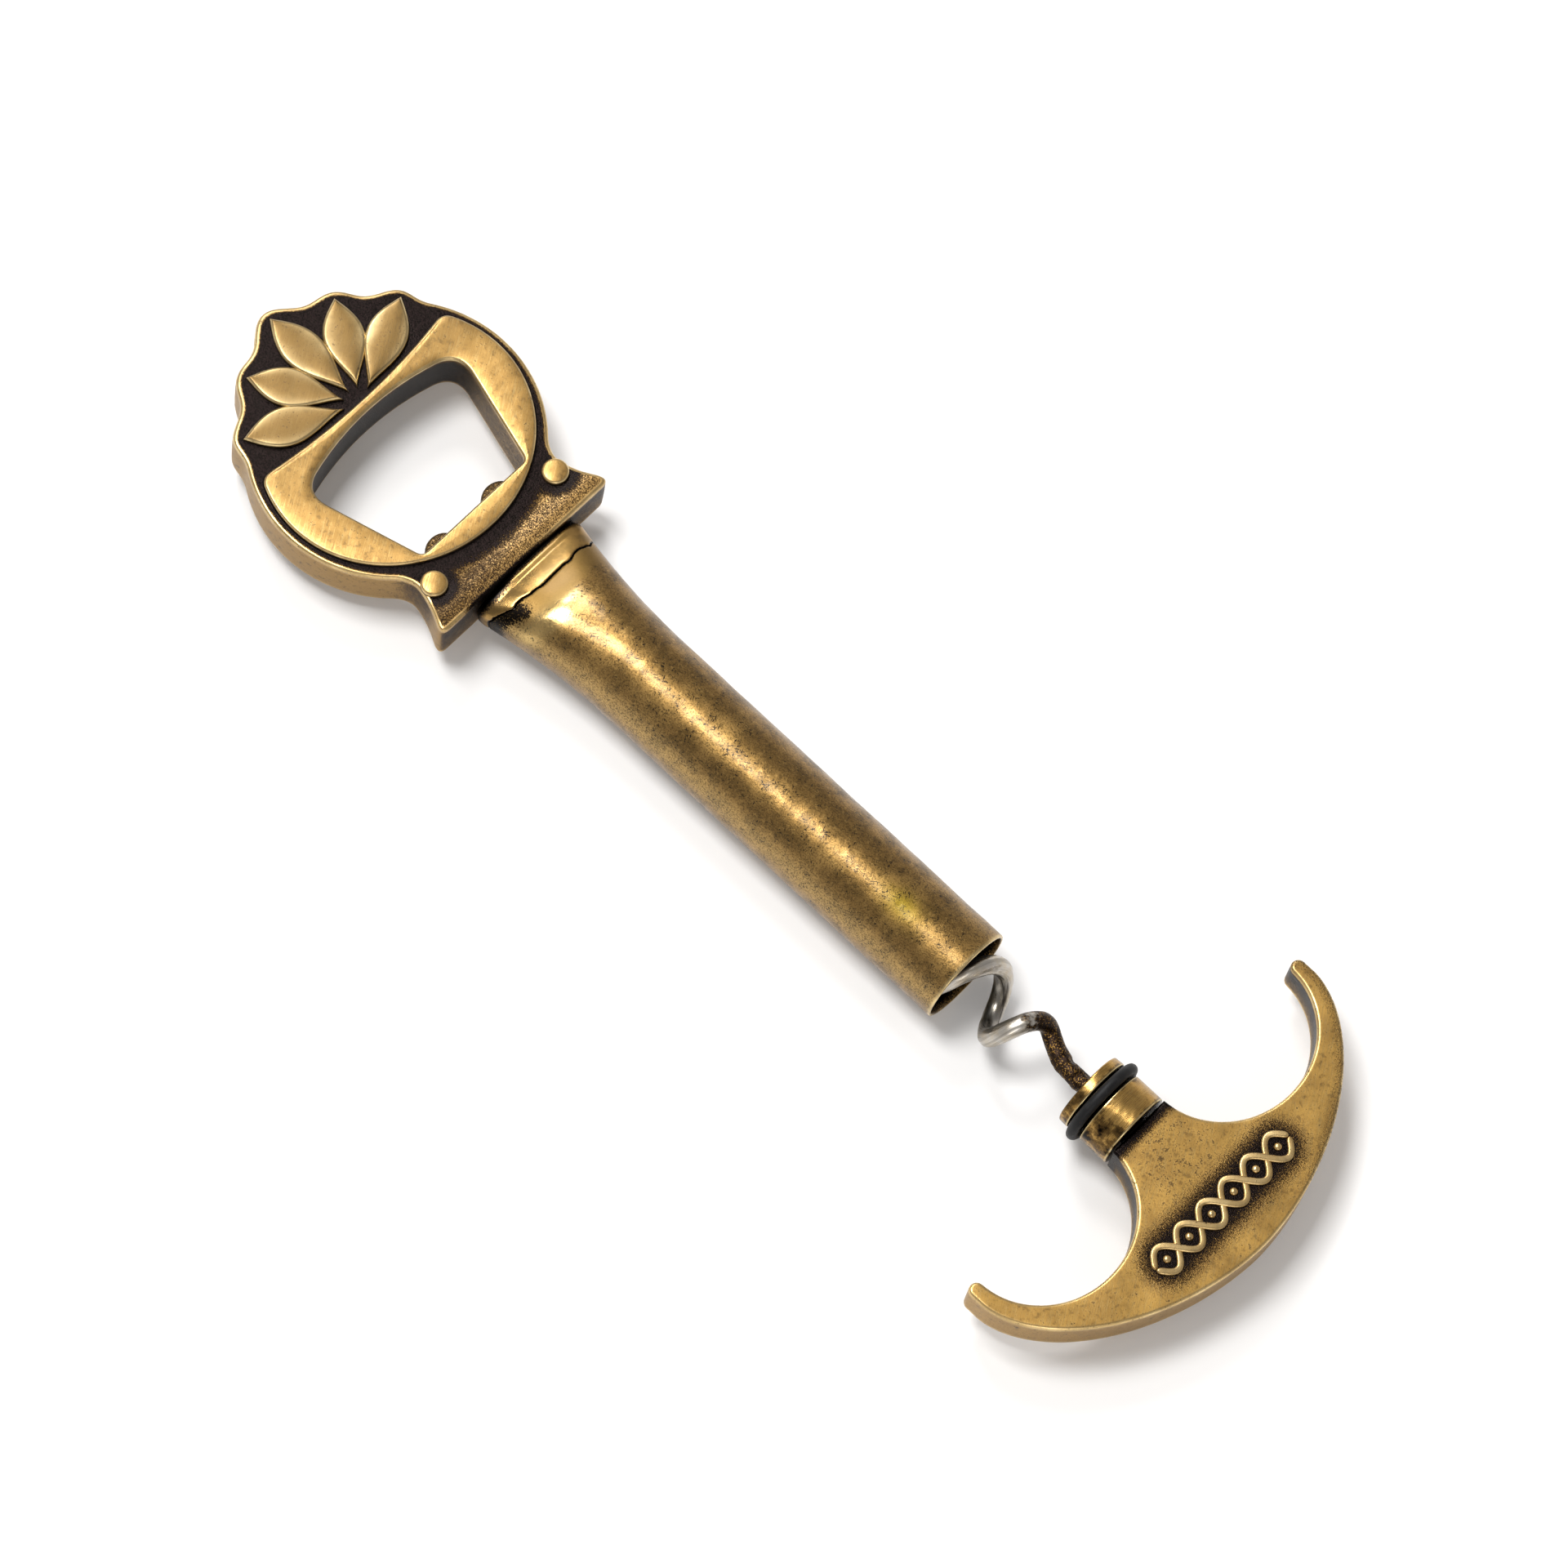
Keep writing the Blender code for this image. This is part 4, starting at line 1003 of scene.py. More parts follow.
def make_worm(screw, material):
    """The wire: circles across the centreline, flattened a little, with draw marks and worn lumps.

    The frame across the wire is the outward radial direction made square to the wire's own direction.
    """
    distance, angle, centre, width = worm_path(screw)
    along = np.gradient(centre, axis=0)
    along /= np.linalg.norm(along, axis=1, keepdims=True)
    radial = np.stack([np.zeros_like(angle), np.cos(angle), np.sin(angle)], axis=-1)
    radial -= along * (radial * along).sum(1)[:, None]
    radial /= np.linalg.norm(radial, axis=1, keepdims=True)
    other = np.cross(along, radial)
    turn = np.linspace(0, 2 * math.pi, WORM_SIDES, endpoint=False)
    circle = radial[:, None] * np.cos(turn)[None, :, None] + other[:, None] * np.sin(turn)[None, :, None]
    rough = fade(distance, 10 * MM, 4 * MM)[:, None]
    surface = centre[:, None] + circle * screw.wire / 2
    lumps = ripple(surface, 1.7 * MM, WORM_SEED) * (0.012 + 0.055 * rough) * MM
    flats = 0.03 * MM * np.cos(3 * turn + 0.6)[None, :] + 0.012 * MM * np.cos(7 * turn + 2.0)[None, :]
    radius = (screw.wire / 2 - 0.04 * MM + lumps + flats) * width[:, None]
    ends = np.ones(len(distance))
    ends[[0, -1]] = 0.0
    radius = radius * ends[:, None]
    points = centre[:, None] + circle * radius[..., None]
    points[0] = centre[0]
    points[-1] = centre[-1]
    item = add_surface(
        "worm_wire",
        points,
        material,
        wrap_columns=True,
        along=distance[:, None] / MM,
        around_cos=np.cos(turn)[None, :],
        around_sin=np.sin(turn)[None, :],
        shank=fade(distance, 15 * MM, 10 * MM)[:, None],
        tip=fade(distance, screw.worm_length - 8 * MM, screw.worm_length - 2 * MM)[:, None],
    )
    seat_piece(item, "corkscrew", "worm_steel", "worm")


def make_plug(screw, material):
    """The turned plug: a profile along X of front disc, groove and collar, bored for shank and spigot."""
    x, end = PLUG_LOW.x, PLUG_HIGH.x
    radius = screw.plug_diameter / 2
    gap = screw.clearance
    groove_x = x + screw.front
    collar_x = groove_x + screw.ring_cord + 2 * gap
    groove = (RING_HIGH.z - RING_LOW.z) / 2 - screw.ring_cord - gap
    shank = screw.wire / 2 + gap
    spigot = screw.spigot / 2 + gap
    floor = end - screw.spigot_length
    corners = [
        (x + screw.seat + gap, 0.0),
        (x + screw.seat + gap, shank),
        (x, shank),
        (x, radius - 0.12 * MM),
        (groove_x, radius),
        (groove_x, groove),
        (collar_x, groove),
        (collar_x, radius),
        (end, radius),
        (end, spigot),
        (floor, spigot),
        (floor, 0.0),
    ]
    profile = refine(smooth_profile(corners, PLUG_ROUND, 7), PLUG_STEP)
    points = turned_surface(profile, PLUG_SIDES, (0, 0, AXIS_Z), "X")
    out = points - np.array([0, 0, AXIS_Z])
    out[..., 0] = 0
    reach = np.linalg.norm(out, axis=-1)
    dents = ripple(points, 5 * MM, PLUG_SEED) * 0.025 * MM
    dents = dents + ripple(points, 1.6 * MM, PLUG_SEED + 1) * 0.006 * MM
    notch_place = np.array([end, -radius * math.cos(0.35), AXIS_Z + radius * math.sin(0.35)])
    dents = np.abs(dents) + spots(points, [notch_place], [0.5 * MM], [0.35 * MM])
    collar = (points[..., 0] > groove_x - screw.front) & (reach > groove)
    points -= out / np.maximum(reach, MM / 100)[..., None] * (dents * collar)[..., None]
    deep = fade(reach, radius - 0.15 * MM, radius - 0.75 * MM)
    edge = np.minimum(np.abs(points[..., 0] - end), np.abs(points[..., 0] - collar_x))
    edge = np.minimum(edge, np.abs(points[..., 0] - groove_x))
    # Painted shade: the patina mark darkens the plug's flanks, most on the -Y side, and leaves the middle
    # bright.
    side = out[..., 1] / radius
    grime_and_painted_shade = 0.62 * fade(side, -0.15, -0.65) + 0.35 * fade(side, 0.5, 0.9)
    item = add_surface(
        "turned_plug",
        points,
        material,
        wrap_columns=True,
        patina=np.maximum(np.maximum(deep, 0.75 * fade(edge, 1.1 * MM, 0)), grime_and_painted_shade),
        wear=fade(np.abs(edge - 0.18 * MM), 0.2 * MM, 0) * (reach > radius - 0.3 * MM),
    )
    seat_piece(item, "corkscrew", "turned_brass", "plug")


def make_ring(screw, material):
    """The rubber ring: a circle carried round the axis, and bent along it by hundredths of a millimetre."""
    cord = screw.ring_cord / 2
    middle_x = (RING_LOW.x + RING_HIGH.x) / 2
    middle = (RING_HIGH.z - RING_LOW.z) / 2 - cord
    around = np.linspace(0, 2 * math.pi, RING_CORD_SIDES, endpoint=False)
    profile = np.stack([middle_x + cord * np.cos(around), middle + cord * np.sin(around)], axis=-1)
    points = turned_surface(profile, RING_SIDES, (0, 0, AXIS_Z), "X")
    points[..., 0] += ripple(points, 9 * MM, RING_SEED) * 0.03 * MM
    item = add_surface("rubber_ring", points, material, wrap_rows=True, wrap_columns=True, merge=False)
    seat_piece(item, "ring_carrier", "ring_rubber", "sealing_ring")


# Finger handle

HANDLE_ROWS = 560
HANDLE_COLUMNS = 46
HANDLE_EDGE_COLUMNS = 10
HANDLE_WALL_ROWS = 9
HANDLE_SEED = 101
STRAND_ROWS = 300
STRAND_COLUMNS = 18
STRAND_EDGE = 0.3 * MM
STRAND_CROWN = 0.04 * MM
ORNAMENT_SINK = 0.3 * MM
EYE_BEAD_SIDES = 28
SPIGOT_SIDES = 48


def even_curve(points, count):
    """Points at even spacing along a line."""
    place = np.append(0.0, np.cumsum(np.linalg.norm(np.diff(points, axis=0), axis=1)))
    target = np.linspace(0, place[-1], count)
    return np.stack([np.interp(target, place, points[:, i]) for i in (0, 1)], axis=-1)


def handle_lines(handle):
    """The handle's back line and front line from arm tip to arm tip, as even points matched by share.

    The back is a superellipse. The front is an arm's tip, a finger hollow (an oval), the neck, and the
    same again.
    """
    hollow_edge = handle.finger_spacing / 2 + handle.finger_half_span
    tip_radius = (handle.half_span - hollow_edge) / 2
    tip_y = handle.half_span - tip_radius
    tip_x = 0.2 * MM
    back_x = handle.reach - handle.back_depth
    quarter = np.linspace(math.pi / 2, 0, 60)
    tip_round = np.stack([-np.sin(quarter), np.cos(quarter)], axis=-1)
    tip_back = np.array([tip_x, tip_y]) + tip_radius * tip_round
    turn = np.linspace(math.pi / 2, 0, 900)
    power = 2 / handle.back_exponent
    back_y = handle.half_span * np.sin(turn) ** power
    back = np.stack([back_x + handle.back_depth * np.cos(turn) ** power, back_y], axis=-1)
    outer = np.concatenate([tip_back, back])
    tip_front = np.stack([tip_back[:, 0], 2 * tip_y - tip_back[:, 1]], axis=-1)
    turn = np.linspace(math.pi / 2, -math.pi / 2, 900)
    hollow_x = handle.finger_depth * np.cos(turn) - handle.finger_set_back
    middle_y = handle.finger_spacing / 2
    hollow_y = middle_y + handle.finger_half_span * np.sin(turn)
    used = (hollow_x > 0) & ((hollow_x > tip_x) | (hollow_y < middle_y))
    hollow = np.stack([hollow_x, hollow_y], axis=-1)[used]
    inner = np.concatenate([tip_front, hollow, [[0.0, 0.0]]])
    lines = []
    for half_line in (outer, inner):
        mirrored = half_line[::-1] * np.array([1, -1])
        lines.append(even_curve(np.concatenate([half_line, mirrored]), HANDLE_ROWS))
    lines[1][[0, -1]] = lines[0][[0, -1]]
    return lines


def line_normals(line):
    """Unit normals of an open line, on its right."""
    along = np.gradient(line, axis=0)
    normal = np.stack([along[:, 1], -along[:, 0]], axis=-1)
    return normal / np.linalg.norm(normal, axis=1, keepdims=True)


def nearest_distance(points, *lines):
    """Distance of each point to the nearest place on some lines, by its foot on every span of them.

    The foot lies at the share ((point - start) . span) / span^2, kept between 0 and 1.
    """
    start = np.concatenate([line[:-1] for line in lines])
    along = np.concatenate([np.diff(line, axis=0) for line in lines])
    length = np.maximum((along**2).sum(-1), (MM / 1000) ** 2)
    blocks = []
    for block in np.array_split(points, 28):
        apart = block[:, :, None, :] - start
        foot = np.clip((apart * along).sum(-1) / length, 0, 1)
        blocks.append(np.linalg.norm(apart - foot[..., None] * along, axis=-1).min(-1))
    return np.concatenate(blocks)


def handle_grid(back, front, roll):
    """Places in the plane of the handle: rows from the back line to the front line, dense at both."""
    width = np.maximum(np.linalg.norm(front - back, axis=1), MM / 100)[:, None]
    near = np.minimum(roll * 1.6 / width, 0.3)
    edge_share = near * np.linspace(0, 1, HANDLE_EDGE_COLUMNS) ** 1.5
    middle = near + (1 - 2 * near) * np.linspace(0, 1, HANDLE_COLUMNS)[1:-1]
    share = np.concatenate([edge_share, middle, 1 - edge_share[:, ::-1]], axis=1)
    return back[:, None] + (front - back)[:, None] * share[..., None]


def handle_marks(local, place, to_edge, back, handle):
    """Marks over the handle's skin, whose columns run top, front wall, bottom and back wall.

    Patina lies in a halo round the twist, at the neck and in the hollows, and wear along the edges.
    """
    half = handle.thickness / 2
    roll = handle.edge_round
    columns = place.shape[1]
    walls = (local.shape[1] - 2 * columns) // 2
    band = handle.reach - handle.twist_to_back
    beyond = np.maximum(np.abs(local[..., 1]) - handle.twist_length / 2 + 2.6 * MM, 0)
    from_twist = np.hypot(local[..., 0] - band, beyond)
    halo = fade(from_twist, 7.3 * MM, 0.3 * MM) * (local[..., 2] > half - roll * 0.6)
    from_back = nearest_distance(place, back)
    worn_edge = 0.30 * fade(from_back, 2.2 * MM, 0.8 * MM) * fade(place[..., 1], 6 * MM, 14 * MM)
    halo[:, :columns] = np.maximum(halo[:, :columns], worn_edge)
    collar = fade(local[..., 0], 3.1 * MM, 0.1 * MM) * (np.abs(local[..., 1]) < 9 * MM)
    hollow_wall = np.zeros(local.shape[:2])
    hollow_wall[:, columns : columns + walls] = np.linspace(0.95, 0.35, walls)
    near_edge = bell(to_edge, 0.15 * MM, 0.25 * MM)
    wear = np.zeros(local.shape[:2])
    wear[:, :columns] = near_edge
    wear[:, columns + walls : 2 * columns + walls] = near_edge[:, ::-1]
    from_neck = np.hypot(local[..., 0] - 6 * MM, local[..., 1])
    return {
        "patina": np.maximum(np.maximum(halo, collar), hollow_wall),
        "wear": wear,
        "rub": 1.0,
        "pitted": fade(from_neck, 12 * MM, 3 * MM),
        "wall": (np.abs(local[..., 2]) < half - roll) * 0.65,
    }


def make_handle_plate(handle, material):
    """The handle's plate: rows from the back line to the front line, with quarter-round edges.

    Within R of an edge the height falls by R - sqrt(R^2 - (R - d)^2), where d is the distance to the edge.
    Within a wider band it falls by a further depth (1 - d/width)^2, which gives soft edges.
    """
    back, front = handle_lines(handle)
    half = handle.thickness / 2
    roll = handle.edge_round
    place = handle_grid(back, front, roll)
    to_edge = nearest_distance(place, back, front)
    fall = roll - np.sqrt(np.maximum(roll**2 - np.maximum(roll - to_edge, 0) ** 2, 0))
    fall = fall + handle.crown_depth * np.clip(1 - to_edge / handle.crown_width, 0, 1) ** 2
    top = np.concatenate([place, (half - fall)[..., None]], axis=-1)
    bottom = np.concatenate([place, (fall - half)[..., None]], axis=-1)[:, ::-1]
    wall_top = half - roll - handle.crown_depth
    wall = np.linspace(wall_top, -wall_top, HANDLE_WALL_ROWS)[1:-1]
    front_wall = np.stack([np.insert(front, 2, z, axis=1) for z in wall], axis=1)
    back_wall = np.stack([np.insert(back, 2, z, axis=1) for z in wall[::-1]], axis=1)
    local = np.concatenate([top, front_wall, bottom, back_wall], axis=1)
    points = local + np.array([neck_place(), 0, AXIS_Z])
    points[..., 2] += ripple(points, 8 * MM, HANDLE_SEED) * 0.015 * MM
    marks = handle_marks(local, place, to_edge, back, handle)
    item = add_surface("handle_plate", points, material, wrap_columns=True, **marks)
    seat_piece(item, "corkscrew", "cast_brass", "finger_handle")


def neck_place():
    """X of the handle's neck: a clearance behind the plug."""
    return PLUG_HIGH.x + settings().screw.clearance


def make_strand(side, handle, material):
    """One strand of the twist: middle = swing sin(phase) across, rising and falling by weave cos(phase)."""
    share = np.linspace(0, 1, STRAND_ROWS)
    phase = share * handle.eyes * math.pi
    y = (share - 0.5) * handle.twist_length
    middle = handle.reach - handle.twist_to_back + side * handle.twist_swing * np.sin(phase)
    path = np.stack([middle + neck_place(), y], axis=-1)
    normal = line_normals(path)
    ends = np.minimum(share, 1 - share) * handle.twist_length / (handle.strand_width / 2)
    half_width = handle.strand_width / 2 * np.sqrt(np.clip(1 - (1 - np.clip(ends, 0, 1)) ** 2, 0, 1))
    plate_top = AXIS_Z + handle.thickness / 2
    weave = side * handle.strand_weave * np.cos(phase)
    top = plate_top + handle.strand_height - handle.strand_weave + weave
    foot = plate_top - ORNAMENT_SINK
    points = raised_strip(path, normal, half_width, top, foot, STRAND_EDGE, STRAND_CROWN, STRAND_COLUMNS)
    drop = (plate_top + handle.strand_height - points[..., 2]) / handle.strand_height
    item = add_surface(
        f"twist_strand_{'over' if side > 0 else 'under'}",
        points,
        material,
        wrap_columns=True,
        patina=ease((drop - 0.75) * 3),
        wear=ease(1.0 - drop) * 0.8,
    )
    seat_piece(item, "corkscrew", "cast_brass")


def make_eye_beads(handle, material):
    """A domed bead in each eye of the twist: a quarter oval turned round Z, on a short foot."""
    plate_top = AXIS_Z + handle.thickness / 2
    radius = handle.eye_bead / 2
    turn = np.linspace(0, math.pi / 2, 12)
    dome = np.stack([plate_top + handle.strand_height * np.cos(turn), radius * np.sin(turn)], axis=-1)
    low = plate_top - ORNAMENT_SINK
    profile = np.concatenate([dome, [[low, radius], [low, 0.0]]])
    for number in range(handle.eyes):
        y = ((number + 0.5) / handle.eyes - 0.5) * handle.twist_length
        centre = (neck_place() + handle.reach - handle.twist_to_back, y, 0.0)
        points = turned_surface(profile, EYE_BEAD_SIDES, centre, "Z")
        drop = (plate_top + handle.strand_height - points[..., 2]) / handle.strand_height
        item = add_surface(
            f"eye_bead_{number}",
            points,
            material,
            wrap_columns=True,
            patina=ease((drop - 0.6) * 3),
            wear=ease(1.0 - drop) * 0.8,
        )
        seat_piece(item, "corkscrew", "cast_brass")


def make_spigot(screw, material):
    """The handle's spigot, which sits in the plug."""
    x = neck_place()
    radius = screw.spigot / 2
    start, end = x - screw.spigot_length, x + 1.5 * MM
    profile = smooth_profile([(start, 0.0), (start, radius), (end, radius), (end, 0.0)], 0.3 * MM, 5)
    points = turned_surface(profile, SPIGOT_SIDES, (0, 0, AXIS_Z), "X")
    item = add_surface("handle_spigot", points, material, wrap_columns=True, patina=0.9)
    seat_piece(item, "corkscrew", "cast_brass")


# Materials


# Kinds of node: the type, the output that is used, the inputs in the order of their values, and settings.
# PLACE is a point of the piece, MARK a number that its mesh carries, NOISE cloudy unevenness whose largest
# features are about 1 / scale across, and SPAN a number eased from one span to another.
PLACE = ("ShaderNodeTexCoord", "Object", (), {})
DIRECTION = ("ShaderNodeTexCoord", "Generated", (), {})
MARK = ("ShaderNodeAttribute", "Fac", (), {})
NOISE = ("ShaderNodeTexNoise", "Fac", ("Vector", "Scale", "Detail", "Roughness"), {})
SPANS = ("Value", "From Min", "From Max", "To Min", "To Max")
SPAN = ("ShaderNodeMapRange", "Result", SPANS, {"interpolation_type": "SMOOTHSTEP"})
SUM = ("ShaderNodeMath", 0, (0, 1), {"operation": "ADD", "use_clamp": True})
DIFFERENCE = ("ShaderNodeMath", 0, (0, 1), {"operation": "SUBTRACT", "use_clamp": True})
PRODUCT = ("ShaderNodeMath", 0, (0, 1), {"operation": "MULTIPLY", "use_clamp": True})
LARGER = ("ShaderNodeMath", 0, (0, 1), {"operation": "MAXIMUM", "use_clamp": True})
NUMBER_MIX = ("ShaderNodeMix", 0, (0, 2, 3), {})
COLOUR_MIX = ("ShaderNodeMix", 2, (0, 6, 7), {"data_type": "RGBA"})
SCALED = ("ShaderNodeVectorMath", 0, (0, 1), {"operation": "MULTIPLY"})
TURNED = ("ShaderNodeMapping", 0, ("Vector", "Rotation", "Scale"), {"vector_type": "TEXTURE"})
AXES = ("ShaderNodeCombineXYZ", 0, (0, 1, 2), {})
HEIGHT = ("ShaderNodeSeparateXYZ", 2, (0,), {})
BUMP = ("ShaderNodeBump", 0, ("Height", "Distance", "Normal"), {})
RAYS = ("ShaderNodeLightPath", "Is Camera Ray", (), {})
PRINCIPLED = ("ShaderNodeBsdfPrincipled", 0, (), {})
BACKGROUND = ("ShaderNodeBackground", 0, ("Color", "Strength"), {})
MATERIAL_OUTPUT = ("ShaderNodeOutputMaterial", None, ("Surface",), {})
WORLD_OUTPUT = ("ShaderNodeOutputWorld", None, ("Surface",), {})


def fill(node, inputs):
    """Fills inputs of a node, by name or number, with values or with links from other nodes."""
    for name, value in inputs.items():
        socket = node.inputs[name]
        if isinstance(value, bpy.types.NodeSocket):
            node.id_data.links.new(value, socket)
        else:
            socket.default_value = value


def add_node(tree, kind, *values, **traits):
    """Adds a node of a kind with its settings and links, and returns the output that is used."""
    type_name, output, names, settled = kind
    node = tree.nodes.new(type_name)
    for name, value in (settled | traits).items():
        setattr(node, name, value)
    fill(node, dict(zip(names, values)))
    return None if output is None else node.outputs[output]


def new_material(name):
    """An empty material, the function that adds nodes to it, and its Principled node."""
    material = bpy.data.materials.new(name)
    material.use_nodes = True
    material.node_tree.nodes.clear()
    add = functools.partial(add_node, material.node_tree)
    surface = add(PRINCIPLED)
    add(MATERIAL_OUTPUT, surface)
    return material, add, surface.node


def antique_cast_brass(finish):
    """Sand-cast brass, blackened and then rubbed satin on its raised faces.

    The eye sees warm satin with faint cloudy shades and fine brush marks, small dark pits, soft bright
    edges, and a black crust in the recesses that fades out in fine specks where it was rubbed. Painted
    shade darkens the far end of the head and its petals. A thin lacquer over the rubbed brass turns the
    brightest places whiter. Real brush marks are about 0.03 mm wide, too fine to show, so they are drawn
    0.20 mm wide.
    """
    material, add, shader = new_material("antique_cast_brass")
    place = add(PLACE)
    clouds = add(NOISE, place, 1 / (5.0 * MM), 4.0, 0.62)
    freckle = add(NOISE, place, 1 / (0.9 * MM), 3.0, 0.6)
    specks = add(NOISE, place, 1 / (0.26 * MM), 3.0, 0.6)
    fine = add(NOISE, place, 1 / (0.15 * MM), 2.0, 0.6)
    brush_place = add(TURNED, place, (0, 0, math.radians(-59)), (12.0, 1, 1))
    brushed = add(NOISE, brush_place, 1 / (0.20 * MM), 2.0, 0.55)
    dull = add(MARK, attribute_name="dull")

    # Satin faces, cloudy and brushed, with painted shade that darkens the far end of the head.
    colour = add(COLOUR_MIX, add(SPAN, clouds, 0.36, 0.66, 0, 0.6), finish.satin, finish.satin_deep)
    rub = add(MARK, attribute_name="rub")
    fingered = add(PRODUCT, rub, add(SPAN, clouds, 0.36, 0.64, 0.62, 0.24))
    colour = add(COLOUR_MIX, fingered, colour, finish.satin_rubbed)
    colour = add(COLOUR_MIX, add(SPAN, freckle, 0.52, 0.72, 0, 0.25), colour, finish.satin_light)
    colour = add(COLOUR_MIX, add(SPAN, freckle, 0.48, 0.28, 0, 0.6), colour, finish.patina_brown)
    colour = add(COLOUR_MIX, add(SPAN, brushed, 0.40, 0.70, 0, 0.35), colour, finish.satin_deep)
    colour = add(COLOUR_MIX, add(SPAN, brushed, 0.50, 0.25, 0, 0.35), colour, finish.satin_light)
    # Painted shade at the far end of the head.
    colour = add(COLOUR_MIX, add(PRODUCT, dull, 0.80), colour, finish.satin_dull)

    # Side walls with grime, and edges worn bright.
    wall_mark = add(MARK, attribute_name="wall")
    wall = add(PRODUCT, wall_mark, add(SPAN, clouds, 0.2, 0.7, 1.0, 0.75))
    colour = add(COLOUR_MIX, wall, colour, finish.wall)
    grime_and_painted_shade = add(PRODUCT, wall_mark, add(SPAN, freckle, 0.50, 0.74, 0, 0.55))
    colour = add(COLOUR_MIX, grime_and_painted_shade, colour, finish.patina_brown)
    worn = add(PRODUCT, add(MARK, attribute_name="wear"), add(SPAN, clouds, 0.25, 0.55, 0.9, 0.4))
    colour = add(COLOUR_MIX, worn, colour, finish.bright)

    # Dark pits, and the black crust with a brown margin.
    pitted = add(SUM, specks, add(PRODUCT, add(MARK, attribute_name="pitted"), 0.085))
    pits = add(PRODUCT, add(SPAN, pitted, 0.61, 0.66), add(SPAN, freckle, 0.45, 0.58))
    blots = add(SUM, freckle, add(PRODUCT, add(MARK, attribute_name="pitted"), 0.06))
    pits = add(LARGER, pits, add(SPAN, blots, 0.67, 0.71, 0, 0.9))
    crust = add(SUM, add(MARK, attribute_name="patina"), add(SPAN, fine, 0.28, 0.72, -0.13, 0.13))
    crust = add(SUM, crust, add(SPAN, specks, 0.3, 0.7, -0.13, 0.13))
    crust = add(SUM, crust, add(SPAN, freckle, 0.3, 0.7, -0.05, 0.05))
    brown = add(LARGER, add(SPAN, crust, 0.10, 0.50, 0, 0.92), add(PRODUCT, pits, 0.9))
    black = add(SPAN, crust, 0.42, 0.76)
    colour = add(COLOUR_MIX, brown, colour, finish.patina_brown)
    crust_colour = add(COLOUR_MIX, add(SPAN, specks, 0.35, 0.65), finish.patina, finish.patina_purple)
    colour = add(COLOUR_MIX, black, colour, crust_colour)

    # Roughness, relief and the lacquer, which is thinnest on the crust and the walls.
    satin_rough = add(SPAN, brushed, 0.3, 0.7, 0.33, 0.43)
    crust_rough = add(SPAN, specks, 0.35, 0.65, 0.16, 0.42)
    rough = add(NUMBER_MIX, black, satin_rough, crust_rough)
    rough = add(NUMBER_MIX, worn, rough, 0.26)
    rough = add(NUMBER_MIX, wall, rough, 0.46)
    normal = add(BUMP, brushed, 0.006 * MM)
    normal = add(BUMP, freckle, 0.003 * MM, normal)
    crumbs = add(PRODUCT, specks, add(SPAN, crust, 0.3, 0.8, 0.06, 1.0))
    normal = add(BUMP, crumbs, 0.085 * MM, normal)
    bare = add(LARGER, crust, add(LARGER, wall_mark, add(PRODUCT, rub, 0.32)))
    lacquer = add(SPAN, bare, 0.20, 0.55, 0.45, 0.04)
    inputs = {
        "Base Color": colour,
        "Roughness": rough,
        "Metallic": 1.0,
        "Normal": normal,
        "Coat Weight": lacquer,
        "Coat Roughness": 0.32,
    }
    fill(shader, inputs)
    return material


